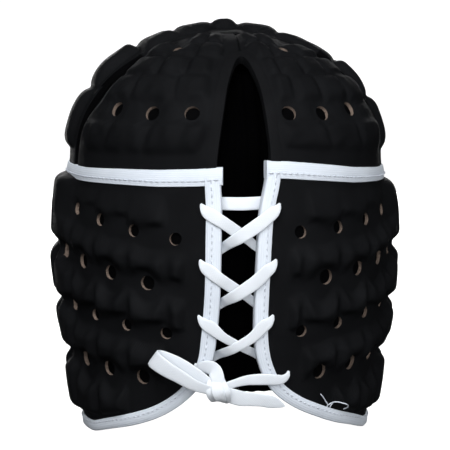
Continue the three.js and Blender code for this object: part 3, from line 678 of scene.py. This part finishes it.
def vent_distance(points, vents):
    """Distance of each point to the rim of the nearest vent."""
    rims = [np.linalg.norm(points - bare_point(theta, rise), axis=-1) - radius
            for theta, rise, radius in vents]
    return np.min(rims, axis=0)


def quilt(name, theta, rise, height, keep, holes, uv, side=1, close=False, seam=None):
    """A closed foam panel from a grid: padded face, inner face, and walls at its edges and vents."""
    rows, columns = theta.shape
    offsets = height, np.full(theta.shape, -FOAM), np.minimum(height, 0) - VENT_DEPTH
    layers = [form_point(theta, rise, offset) for offset in offsets]
    index, quads = grid_faces(rows, columns)
    whole = keep[:-1, :-1] & keep[:-1, 1:] & keep[1:, 1:] & keep[1:, :-1]
    kept = whole & ~holes
    layer = rows * columns
    faces = [quads[kept], quads[whole][:, ::-1] + layer, quads[holes] + 2 * layer]
    # Faces in the seam's fold take the dark lining material as painted shade in the fold
    painted_shade = np.zeros(kept.shape, bool) if seam is None else seam[:-1, :-1]
    tints = [np.where(painted_shade[kept], LINING_AND_SEAM_SHADE_TINT, CLOTH_TINT),
             np.full(whole.sum() + holes.sum(), LINING_AND_SEAM_SHADE_TINT)]
    around, in_vent = np.pad(kept, 1), np.pad(holes, 1)
    if close:
        # Above the seam the grid's ends meet, and a strip of faces closes the ring at its top
        met = np.linalg.norm(layers[0][:, 0] - layers[0][:, -1], axis=1) < WELD
        around[1:-1, [0, -1]] = (met[:-1] & met[1:])[:, None]
        around[-1, 1:-1] = True
        k = np.arange(columns // 2 - 1)
        cap = index[-1][np.stack([k, k + 1, columns - 2 - k, columns - 1 - k], axis=1)]
        faces += [cap, cap[:, ::-1] + layer]
        tints += [np.full(len(cap), CLOTH_TINT), np.full(len(cap), LINING_AND_SEAM_SHADE_TINT)]
    for corner, (down, right) in enumerate([(-1, 0), (0, 1), (1, 0), (0, -1)]):
        beside, vented = (np.roll(near, (-down, -right), axis=(0, 1))[1:-1, 1:-1]
                          for near in (around, in_vent))
        edge = kept & ~beside
        first, second = quads[edge][:, corner], quads[edge][:, (corner + 1) % 4]
        deep = layer * np.where(vented[edge], 2, 1)
        faces.append(np.stack([second, first, first + deep, second + deep], axis=1))
        tints.append(np.where(vented[edge], FOAM_TINT, CLOTH_TINT))
    faces, tints = np.vstack(faces), np.concatenate(tints)
    points = settled(np.reshape(layers, (-1, 3)) * np.array([side, 1, 1]))
    used, renamed = np.unique(faces, return_inverse=True)
    faces = renamed.reshape(faces.shape)[:, ::side]
    coordinates = np.vstack([uv.reshape(-1, 2)] * 3)[used]
    piece = mesh_object(name + "_quilt", points[used], faces, coordinates, tints)
    if close:
        mend(piece, WELD * MM)
    dress(piece, name, "black_fabric", BLACK, TAN_FOAM, LINING_AND_SEAM_SHADE)
    return piece


def ripple(points, seed, size):
    """Slow seeded unevenness of soft foam, between about -1 and 1."""
    phases = np.random.default_rng(seed).uniform(0, 2 * math.pi, (6, 4))
    total = np.zeros(points.shape[:-1])
    for k, (p, q, r, s) in enumerate(phases):
        pitch = size * (0.6 + 0.25 * k)
        way = np.array([math.cos(p), math.sin(p) * math.cos(q), math.sin(p) * math.sin(q)])
        total += np.sin(points @ way * 2 * math.pi / pitch + r) * np.cos(s + points[..., 2] / pitch)
    return total / 4


def row_line(row, theta):
    swing = np.radians(np.minimum(abs(theta), LINE_LEVEL_FROM) * LINE_SWEEP)
    return row["line"] + row["climb"] * (1 - np.cos(swing))


def lower_vents(side):
    vents = []
    end = SIDE_NAMES[side]
    for row, vent in zip(LOWER_ROWS, LOWER_VENTS):
        wide = wall_size(np.array(row["line"] + row["climb"]), WALL_WIDE)
        for k in range(VENT_COLUMNS):
            theta = math.degrees((vent[end] + VENT_PITCH * k) / (ROUND_RATIO * wide))
            z = row_line(row, theta) - vent[end + "_drop"]
            vents.append((theta, float(rise_at(z)), vent["radius"]))
    return vents


def lower_relief(distance, theta, z, side, shape):
    """Height of the lower pads: undercut lower edges, faces that lean out upwards, notched upper edges."""
    height = np.zeros(theta.shape)
    edges = COLUMN_EDGES[side]
    last = len(edges) - 2
    sideways = smooth((theta - SIDE_FROM) / SIDE_TURN)
    lines = [row_line(row, theta) for row in LOWER_ROWS]
    for row, line, above in zip(LOWER_ROWS, lines, [ROWS_TOP] + lines):
        for k in range(row["first"], last + 1):
            start, end = edges[k], edges[k + 1]
            inside = (distance >= start) & (distance < end)
            part = np.clip((distance - start) / (end - start), 0, 1)
            peak = np.sin(math.pi * part) ** 1.4
            share = (NARROW_SHARE if end - start < NARROW_PAD else 1) * (1 - 0.9 * sideways)
            low = z - line - row["low"] - share * row["step"] * (1 - part) - share * row["arch"] * peak ** 2
            high = above - row["valley"] * (1 - 0.8 * sideways) - share * row["notch"] * peak - z
            lean = PAD_LEAN - (PAD_LEAN - SIDE_LEAN) * sideways
            face = 1 - lean * (1 - np.clip(low / PAD_LEAN_REACH, 0, 1))
            crest = ramp(high / row["slope"], 0.2) * (1 - sideways) + bulge(high / SIDE_SLOPE) * sideways
            deep = np.exp(-((part - row["crease"]) / row["spread"]) ** 2)
            sharp, soft = bulge(low / (2.4 + 2.6 * sideways)), smooth((low + 4.5) / 9)
            upright = (deep * sharp + (1 - deep) * soft) * crest * face
            fall_start = smooth((distance - start - 0.2) / PAD_FALL)
            fall_end = smooth((end - distance - 0.2) / PAD_FALL)
            if k > row["first"]:
                fall_start = 1 - row["groove"] * (1 - fall_start)
            if k < last:
                fall_end = 1 - row["groove"] * (1 - fall_end)
            split = 1 - (0.1 if row["arch"] else 0) * share * np.exp(-((part - 0.42) * 12) ** 2)
            full = (PAD_RISE + SIDE_RISE * sideways) * shape.uniform(*PAD_FULLNESS)
            pad = np.where(inside, full * upright * fall_start * fall_end * split, 0)
            height = np.maximum(height, pad)
    # At the sides the two top rows swell together, and the grooves between the rows are shallow
    crest = bulge((ROWS_TOP + SIDE_CREST[side] - z) / SIDE_CREST_SLOPE[side])
    bridge = (PAD_RISE + SIDE_RISE) * bulge((z - lines[1] - 1) / 5) * crest
    floor = SIDE_FLOOR * bulge((z - lines[-1] - 1) / 4) * crest
    grooves = np.min([bulge(abs(distance - edge) / 4) for edge in edges[1:]], axis=0)
    swell = sideways * np.maximum(bridge, floor) * (0.7 + 0.3 * grooves)
    return np.maximum(height, np.where(distance < edges[-1], swell, 0))


def side_panel(name, side, seed):
    distance, z = np.meshgrid(np.arange(*PANEL_ROUND, PANEL_STEP), np.arange(*PANEL_UP, PANEL_STEP))
    theta = np.degrees(distance / (ROUND_RATIO * wall_size(z, WALL_WIDE)))
    rise = rise_at(z)
    vents = lower_vents(side)
    holes = open_vents(theta, rise, vents)
    z = height_at(rise)
    distance = np.radians(theta) * ROUND_RATIO * wall_size(z, WALL_WIDE)
    points = bare_point(theta, rise)
    from_edge = distance_to(points, side_edge(side))
    lacing = lacing_line(side)
    lacing_x = np.interp(-z, -lacing[:, 2], lacing[:, 0])
    cheek = cheek_line()
    cheek_y = np.interp(z, cheek[:, 2], cheek[:, 1])
    inside = np.where(theta < 90, points[..., 0] > lacing_x, points[..., 1] < cheek_y)
    keep = inside & (from_edge > UNDER_TAPE)
    height = lower_relief(distance, theta, z, side, np.random.default_rng(seed))
    height *= bulge((vent_distance(points, vents) - 0.5) / 4)
    height *= bulge((from_edge - HEM_TAPE - 2) / 5)
    height = relaxed(height + 0.4 * ripple(points, seed, 17) * smooth(height / 3), 4)
    return quilt(name, theta, rise, height, keep, holes, np.stack([distance, z], axis=-1), side)


def relaxed(height, rounds):
    """Cloth drawn over the foam: a height grid smoothed a little."""
    for _ in range(rounds):
        padded = np.pad(height, 1, mode="edge")
        beside = padded[1:-1, :-2] + padded[1:-1, 2:] + padded[:-2, 1:-1] + padded[2:, 1:-1]
        height = 0.5 * height + 0.125 * beside
    return height


def crown_relief(theta, rise, rows, slope, shape):
    """Share of the crown pads' full height, from rows with lines and column edges in degrees."""
    height = np.zeros(theta.shape)
    wide, deep = half_sizes(rise)
    turn, climb = np.radians(theta), np.radians(rise)
    round_mm = np.radians(1) * np.hypot(wide * np.cos(turn), deep * np.sin(turn))
    up_mm = np.radians(1) * np.hypot(DOME_HEIGHT * np.cos(climb), CROWN_RADIUS * np.sin(climb))
    for row in rows:
        upright = bulge((rise - row["line"]) * up_mm / row["low"])
        upright = upright * bulge((row["top"] - rise) * up_mm / row["high"])
        lean = row["slant"] * ((row["line"] + row["top"]) / 2 - rise)
        for k, (start, end) in enumerate(zip(row["edges"], row["edges"][1:])):
            fall_start = bulge((theta - start - lean) * round_mm / slope)
            fall_end = bulge((end + lean - theta) * round_mm / slope)
            if k in row["flush"]:
                fall_start = FLUSH + (1 - FLUSH) * fall_start
            if k + 1 in row["flush"]:
                fall_end = FLUSH + (1 - FLUSH) * fall_end
            inside = (theta >= start + lean) & (theta < end + lean)
            share = row["full"][k] * shape.uniform(*CROWN_FULLNESS) * upright * fall_start * fall_end
            height = np.maximum(height, np.where(inside, share, 0))
    return height


def seam_theta(rise):
    """Angle from the back at which the seam across the head lies."""
    _, deep = half_sizes(rise)
    return np.degrees(np.arccos(np.clip(-SEAM_Y / np.maximum(deep, 1e-6), -1, 1)))


def seam_depth(rise):
    """How far that seam pulls the pads in: a deep fold at the temples that closes towards the top."""
    return 2.4 - 2 * smooth((rise - 46) / 14)


def crown_cloth(theta, z):
    """Cloth coordinates of the crown, in millimetres."""
    return np.stack([theta * 1.6, z * 1.3], axis=-1)


def rear_crown(name, side, seed):
    rises = np.concatenate([np.arange(-4, 40, 0.75), np.linspace(40, REAR_TOP, 58)])
    part, rise = np.meshgrid(np.linspace(0, 1, 125), rises)
    z = height_at(rise)
    start = theta_at(side * gap_middle(z), z)
    end = np.maximum(seam_theta(rise), start + 0.05)
    theta = start + (end - start) * part
    vents = [(vent[SIDE_NAMES[side]], vent["rise"], vent["radius"]) for vent in REAR_VENTS]
    holes = open_vents(theta, rise, vents)
    points = bare_point(theta, rise)
    x, y, z = np.moveaxis(points, -1, 0)
    from_arch = distance_to(points, arch_line() * np.array([side, 1, 1]))
    arch_x, arch_z = zip(*ARCH_EDGE)
    half = np.interp(z, arch_z, arch_x, right=-1)
    outside = x - side * gap_middle(z, half) > half
    keep = outside & ((from_arch > UNDER_ARCH_TAPE) | (z > arch_z[-1] + UNDER_ARCH_TAPE))
    seam = SEAM_Y - y
    rows = []
    for row in REAR_ROWS:
        edges = row["edges"][side]
        rows.append(dict(row, edges=edges, slant=row["slant"][side], full=np.ones(len(edges))))
    height = REAR_RISE * crown_relief(theta, rise, rows, REAR_SLOPE, np.random.default_rng(seed))
    height = np.maximum(height, 1.3 * smooth((rise - 8) / 6) * smooth((32 - rise) / 6))
    height *= smooth((vent_distance(points, vents) - 0.3) / 5)
    height *= smooth((from_arch - 5) / 5) * smooth((z - BAND_HEIGHT - 6) / 7)
    gape = GAPE["wide"] * np.exp(-((rise - GAPE["rise"]) / GAPE["spread"]) ** 2)
    gape = SEAM_WIDTH + gape * (side < 0)
    height *= smooth((seam - np.maximum(3, 0.8 * gape)) / 7)
    creases = 0.8 * ripple(points, seed, 12) + 0.3 * ripple(points, seed + 5, 5)
    height = relaxed(height + creases * smooth(height / 2), 6)
    height -= seam_depth(rise) * (1 - smooth(seam / (gape + 2)))
    # Above the arch the two rear panels meet in a shallow seam
    centre = np.where(z > arch_z[-1] - 4, x - side * gap_middle(z), 9)
    height -= 1.2 * (1 - bulge(abs(centre) / 2.5))
    # The seam's fold up to a rise is given the dark lining as painted shade
    return quilt(name, theta, rise, height, keep, holes, crown_cloth(theta, z), side,
                 seam=(seam < gape) & (rise < SEAM_SHADE_TO))


def front_crown(name, seed):
    rises = np.linspace(60, 85, 501)
    seam_top = float(np.interp(SEAM_Y, -half_sizes(rises)[1], rises))
    # Rows of the grid go from the band (0) to the top of the seam (1) and on to the top of the form (2)
    parts = np.concatenate([np.linspace(0, 1, 114), np.linspace(1, 2, 27)[1:]])
    turn, part = np.meshgrid(np.linspace(0, 1, 300), parts)
    start = seam_theta(np.zeros(1))
    brow = bare_point(start + (360 - 2 * start) * turn, np.zeros(turn.shape))
    low = rise_at(band_height(brow[..., 1]) + 1)
    rise = np.where(part <= 1, low + (seam_top - low) * part, seam_top + (FORM_TOP - seam_top) * (part - 1))
    start = seam_theta(rise)
    theta = start + (360 - 2 * start) * turn
    vent_row = FRONT_ROWS[1]
    vents = [(at, vent_row["line"] - vent_row["tilt"] * math.sin(math.radians(at)), FRONT_VENT_RADIUS)
             for at in FRONT_VENTS]
    holes = open_vents(theta, rise, vents)
    points = bare_point(theta, rise)
    x, y, z = np.moveaxis(points, -1, 0)
    sine = np.sin(np.radians(theta))
    lines = [row["line"] - row["tilt"] * sine for row in FRONT_ROWS]
    rows = []
    for row, line, top in zip(FRONT_ROWS, lines, lines[1:] + [FRONT_TOP]):
        edges = [row["start"] + (360 - 2 * row["start"]) * k / FRONT_COLUMNS
                 for k in range(FRONT_COLUMNS + 1)]
        full = np.interp(range(FRONT_COLUMNS), [2, 3, 6, 7], [row["right"], 1, 1, row["left"]])
        rows.append(dict(row, line=line, top=top, slant=0, edges=edges, full=full))
    seam = y - SEAM_Y
    height = FRONT_RISE * crown_relief(theta, rise, rows, FRONT_SLOPE, np.random.default_rng(seed))
    height *= bulge((vent_distance(points, vents) - 0.6) / 5)
    for pad in TOP_PADS:
        away = np.hypot((x - pad["x"]) / pad["wide"], (y - pad["y"]) / pad["deep"])
        height = np.maximum(height, pad["rise"] * bulge((1 - away) * pad["wide"] / 6))
    height *= bulge((seam - 1.5) / 4)
    height *= bulge((z - band_height(y) - 2) / 5)
    height = relaxed(height + 0.4 * ripple(points, seed, 15) * smooth(height / 2), 4)
    height -= seam_depth(rise) * (1 - smooth(seam / 3))
    keep = np.ones(theta.shape, bool)
    # The seam's fold up to a rise is given the dark lining as painted shade
    return quilt(name, theta, rise, height, keep, holes, crown_cloth(theta, z),
                 close=True, seam=(seam < 3) & (rise < SEAM_SHADE_TO))


# Tapes
def binding_section(widths, proud):
    """Folded tape over a foam edge, for each width: (from the free edge, height) as a closed outline."""
    sections = []
    for width in widths:
        outer = [(width, -0.4), (width - 0.05, proud * 0.8), (width - 0.3, proud),
                 (width / 2, proud + 0.06), (0.7, proud), (0.2, proud * 0.6), (0, -1.0)]
        sections.append(outer + [(b, -FOAM - n) for b, n in outer[::-1]])
    return np.array(sections)


def stitches(line, across, normal, place, height):
    """Small raised stitches in a row along a line, at a distance across it."""
    run = run_along(line)
    shape = round_section(6)
    swell = np.array([0.15, 0.8, 1.0, 0.8, 0.15]) * STITCH_RADIUS
    lift = np.array([-0.3, 0.1, 0.25, 0.1, -0.3]) * STITCH_RADIUS
    parts = []
    for start in np.arange(STITCH_GAP, run[-1] - STITCH_LENGTH - STITCH_GAP, STITCH_LENGTH + STITCH_GAP):
        at = start + STITCH_LENGTH * np.array([0, 0.12, 0.5, 0.88, 1])
        side, up = (unit(sampled(ways, run, at)) for ways in (across, normal))
        centre = sampled(line, run, at) + side * place + up * (height + lift)[:, None]
        parts.append(sweep(centre, side, up, shape[None] * swell[:, None, None]))
    return joined(parts)


def laid(part, side=1):
    """A swept part on its side of the head, settled with the cloth there."""
    points, faces, uv = part
    return settled(points * np.array([side, 1, 1])), [face[::side] for face in faces], uv


def taped(name, line, section, place, height, side=1):
    """White tape along a line and stitches at a place across it, as two pieces."""
    across, normal = line_frames(line)
    tape = sweep(line, across, normal, section)
    rows = stitches(line, across, normal, place, height)
    for part, end, look in [(tape, "_tape", TAPE_WHITE), (rows, "_stitches", THREAD)]:
        sewn(name + end, name, "white_binding", look, laid(part, side))


def edge_tape(name, side):
    line = side_edge(side)
    widths = np.interp(line[:, 2], [0, 8, 30, 55], [HEM_TAPE, CORNER_TAPE, CORNER_TAPE, LACING_TAPE[side]])
    widths = np.where(line[:, 1] < 0, widths, HEM_TAPE)
    taped(name, line, binding_section(widths, 1.0), place=4.6, height=1.0, side=side)


def waist_band():
    middle = gap_middle(BAND_HEIGHT)
    start = theta_at(middle + BAND_GAP[1], BAND_HEIGHT)
    end = 360 + theta_at(middle - BAND_GAP[-1], BAND_HEIGHT)
    theta = np.linspace(start, end, 420)
    y = bare_point(theta, np.zeros(theta.shape))[:, 1]
    line = even_line(bare_point(theta, rise_at(band_height(y))), TAPE_PITCH)
    low = -BAND_TAPE / 2
    aside = smooth((abs(on_form(line)[0]) - 15) / 60)
    section = []
    for high in BAND_TAPE / 2 - (BAND_TAPE - BAND_SIDE_TAPE) * aside:
        section.append([(low, -0.4), (low + 0.3, 0.7), (low + 1.2, 0.95), (0, 1.1), (high - 1.2, 0.95),
                        (high - 0.3, 0.7), (high, -0.4), (high, -FOAM + 0.4), (high - 0.3, -FOAM - 0.7),
                        (0, -FOAM - 0.9), (low + 0.3, -FOAM - 0.7), (low, -FOAM + 0.4)])
    taped("waist_band", line, section, place=-1.6, height=1.4)


def gap_binding():
    line = eased(arch_line(), 4)
    across, normal = line_frames(line)
    tape = sweep(line, across, normal, binding_section(np.full(len(line), ARCH_TAPE), 0.35))
    sewn("gap_binding_tape", "gap_binding", "black_binding", TRIM, laid(tape))


# Gusset
def gusset():
    halves, heights = zip(*GUSSET)
    part, z = np.meshgrid(np.linspace(-1, 1, 61), np.arange(heights[0], heights[-1] + 0.1, 1.4))
    half = np.interp(z, heights, halves)
    x = part * half + gap_middle(z, abs(part) * half)
    theta, rise = theta_at(x, z), rise_at(z)
    rim = smooth((half - abs(part) * half - 3.5) / 4)
    folds = 0.5 * np.sin(x * 0.9 + 0.35 * np.sin(z * 0.11)) * rim * smooth((30 - abs(x)) / 20)
    depth = GUSSET_RIM + (GUSSET_FACE - GUSSET_RIM) * rim + folds
    layers = [form_point(theta, rise, offset) for offset in (depth, depth - GUSSET_THICK)]
    index, quads = grid_faces(*z.shape)
    quads = quads.reshape(-1, 4)
    edge = np.concatenate([index[0], index[1:, -1], index[-1, -2::-1], index[-2:0:-1, 0]])
    after = np.roll(edge, -1)
    walls = np.stack([after, edge, edge + z.size, after + z.size], axis=1)
    faces = np.vstack([quads, quads[:, ::-1] + z.size, walls])
    uv = np.stack([x, z], axis=-1).reshape(-1, 2)
    piece = mesh_object("lacing_gusset_sheet", np.reshape(layers, (-1, 3)), faces, np.vstack([uv, uv]))
    # The gusset's near-black stretch holds painted shade of the gap
    dress(piece, "lacing_gusset", "black_stretch", STRETCH_WITH_PAINTED_SHADE)


# Lace
def eyelet_place(side, index):
    row = EYELETS[index]
    end = SIDE_NAMES[side]
    z = row[end + "_z"]
    edge_x, edge_z = spline(LACING_EDGE, 8).T
    half = np.interp(-z, -edge_z, edge_x)
    return gap_middle(z) + side * (half + row[end]), z


def ribbon(rows, lie=None):
    """A flat ribbon through rows of (x, z, height, width), with a fixed way across if lie is given."""
    x, z, height, width = spline(rows, LACE_STEPS).T
    theta, rise = theta_at(x, z), rise_at(z)
    points = form_point(theta, rise, height)
    normal = form_normal(theta, rise)
    tangent = unit(np.gradient(points, axis=0))
    across = np.cross(normal, tangent)
    if lie is not None:
        level, turn = np.cross([0, 0, 1], normal), math.radians(lie)
        way = level * math.cos(turn) + np.cross(normal, level) * math.sin(turn)
        across = way - tangent * (way * tangent).sum(axis=1, keepdims=True)
    across = unit(across)
    normal = np.cross(tangent, across)
    shape = round_section(LACE_SIDES)
    shape = np.sign(shape) * abs(shape) ** np.array([0.6, 0.8])
    section = shape[None] * np.stack([width / 2, np.full(width.shape, LACE_THICK / 2)], axis=1)[:, None]
    return sweep(points, across, normal, section)


def crossing_run(side, index):
    """Lace from an eyelet over its own trim and across the gap, under the far trim to the next eyelet."""
    x0, z0 = eyelet_place(side, index)
    x1, z1 = eyelet_place(-side, index + 1)
    over = side > 0
    middle, late = (1.1, -1.6) if over else (-1.0, -4.2)
    leave, dive = (6.9, 4.9) if over else (6.2, 4.4)
    sag = (2.3 if over else 0.9) + LOW_SAG[index]
    if index == len(LOW_SAG) - 1:
        leave, dive = leave - 1.4, dive - 0.4
    # Part of the run, height, width, drop under the line between the eyelets
    plan = [(0.0, 0.2, 1.2, 0.2), (0.03, 1.7, 3.4, 0.8), (0.08, 2.2, 5.8, 1.4),
            (0.15, 2.2, 6.6, 1.4 + 0.4 * over), (0.28, 1.9, leave, sag), (0.5, middle, leave - 0.4, sag),
            (0.63, late, dive + 0.4, sag), (0.75, -5.6, dive, sag + 0.3), (1.0, -6.0, dive, sag)]
    return [(x0 + (x1 - x0) * part, z0 + (z1 - z0) * part - drop, height, width)
            for part, height, width, drop in plan]


def lace():
    x0, z0 = eyelet_place(-1, 0)
    x1, _ = eyelet_place(1, 0)
    runs = [[(x0, z0, -6, 6.2), (x0 / 2, z0 - 0.4, -6.2, 6.4), (0, z0 - 0.6, -6, 6.5),
             (x1 / 2, z0 - 0.3, -6.2, 6.4), (x1, z0 + 0.4, -6, 6.2)]]
    runs += [crossing_run(side, index) for index in range(len(LOW_SAG)) for side in (-1, 1)]
    right, right_z = eyelet_place(1, 3)
    left, left_z = eyelet_place(-1, 3)
    # Last runs: from the right eyelet across to the knot, and from the left eyelet in an arch down to it
    runs.append([(right, right_z, 0.4, 1.2), (right - 1.4, right_z - 1.8, 1.9, 3.4),
                 (right - 4.2, right_z - 3.2, 2.5, 5)] + RIGHT_RUN)
    runs.append([(left, left_z, 0.4, 1.4), (left + 1.7, left_z - 0.9, 1.8, 4.2)] + LEFT_RUN)
    parts = [ribbon(run) for run in runs]
    # Bow loop: its rear layer out from the knot, a fold at its end and the front layer back; then the tail
    parts += [ribbon(BOW_REAR + BOW_FOLD + BOW_FRONT, lie=BOW_LIE), ribbon(TAIL)]
    for turn in KNOT_TURNS:
        foot, head, swell = turn["foot"], turn["head"], turn["swell"]
        parts.append(ribbon([(KNOT_X + foot * 0.5, 26.2, 3.2, 3.8),
                             (KNOT_X + foot * 0.9, 28.2, swell - 2, 5.2),
                             (KNOT_X + (foot + head) * 0.55, 32.4, swell, 6),
                             (KNOT_X + head * 0.9, 36.2, swell - 1.4, 5.4),
                             (KNOT_X - 0.4 + head * 0.5, 38.8, 4, 3.8)]))
    sewn("lace_ribbon", "lace", "white_lace", LACE_WHITE, joined(parts))


# Loose thread
def loose_thread(panel):
    """A sewing thread that has come out of the right hem and lies in a curl on the panel beside it."""
    mesh = panel.data
    cover = BVHTree.FromPolygons([vertex.co for vertex in mesh.vertices],
                                 [face.vertices for face in mesh.polygons])
    shape = round_section(THREAD_SIDES) * THREAD_RADIUS
    parts = []
    for path in THREAD_PATHS:
        x, z, lift = spline(path, 8).T
        theta, rise = theta_at(x, z), rise_at(z)
        normal = form_normal(theta, rise)
        rows = []
        for start, way, over in zip(form_point(theta, rise, np.full(len(x), 30.0)) * MM, normal, lift):
            hit = cover.ray_cast(Vector(start), Vector(-way))[0]
            rows.append(np.array(hit) / MM + way * (THREAD_RADIUS + over))
        line = eased(np.array(rows), 3)
        tangent = unit(np.gradient(line, axis=0))
        across = unit(np.cross(normal, tangent))
        parts.append(sweep(line, across, np.cross(tangent, across), shape))
    sewn("edge_binding_right_thread", "edge_binding_right", "white_binding", THREAD, joined(parts))


# Studio
def studio_floor():
    """Round floor that turns up into a wall, lit by itself so that it is evenly white."""
    rim = FLOOR_FLAT + FLOOR_BEND
    run = [(radius, 0) for radius in (0.01, 0.6, 1.3, FLOOR_FLAT)]
    run += [(FLOOR_FLAT + FLOOR_BEND * math.sin(t), FLOOR_BEND - FLOOR_BEND * math.cos(t))
            for t in np.linspace(0.1, math.pi / 2, 14)]
    run += [(rim, FLOOR_WALL / 2), (rim, FLOOR_WALL)]
    points = [(radius * x, radius * y, z) for radius, z in run for x, y in round_section(64)]
    index = np.arange(len(points)).reshape(len(run), -1)
    after = np.roll(index, -1, axis=1)
    faces = np.stack([index[:-1], index[1:], after[1:], after[:-1]], axis=-1).reshape(-1, 4)
    floor = mesh_object("floor", np.array(points) / MM, faces.tolist() + [index[0].tolist()])
    look, tree, shader, place = new_material("pale_floor")
    tone = two_tones(tree, noise(tree, place, 3.0, 3.0), (0.40, 0.40, 0.40), (0.42, 0.42, 0.42))
    connect(tree, shader, {"Base Color": tone, "Roughness": 0.8, "Emission Color": (1, 1, 1, 1),
                           "Emission Strength": FLOOR_GLOW})
    floor.data.materials.append(look)
    floor.visible_diffuse = False
    floor.visible_glossy = False


def aimed(name, data, place, aim):
    """A lamp or camera at a place, turned to a point."""
    holder = bpy.data.objects.new(name, data)
    holder.location = place
    holder.rotation_euler = (Vector(aim) - Vector(place)).to_track_quat("-Z", "Y").to_euler()
    bpy.context.scene.collection.objects.link(holder)
    return holder


def studio():
    studio_floor()
    world = bpy.data.worlds.new("studio")
    world.use_nodes = True
    sky = world.node_tree
    way = add_node(sky, "TexCoord")
    parts = add_node(sky, "SeparateXYZ", {0: way.outputs["Generated"]})
    # Light from below is a little stronger than light from above
    level = add_node(sky, "MapRange", {0: parts.outputs[2], 1: -0.6, 2: 0.5, 3: 1.35, 4: 1.05})
    sky.links.new(level.outputs[0], sky.nodes["Background"].inputs[1])
    bpy.context.scene.world = world
    for lamp in LAMPS:
        light = bpy.data.lights.new(lamp["name"], "AREA")
        light.size = lamp["size"]
        light.energy = lamp["power"]
        aimed(lamp["name"], light, lamp["place"], LAMP_AIM)
    bpy.context.scene.view_settings.view_transform = "Standard"


def camera():
    made = bpy.data.cameras.new("camera")
    made.sensor_width = 36
    made.lens = CAMERA_LENS
    made.clip_start = 0.05
    turn = math.radians(CAMERA_TURN)
    place = (CAMERA_AWAY * math.sin(turn), -CAMERA_AWAY * math.cos(turn), CAMERA_HEIGHT)
    bpy.context.scene.camera = aimed("camera", made, place, CAMERA_AIM)


camera()
side_panel("side_panel_left", -1, 11)
right_panel = side_panel("side_panel_right", 1, 12)
rear_crown("rear_crown_left", -1, 21)
rear_crown("rear_crown_right", 1, 22)
front_crown("front_crown", 31)
edge_tape("edge_binding_left", -1)
edge_tape("edge_binding_right", 1)
waist_band()
gap_binding()
gusset()
lace()
loose_thread(right_panel)
studio()
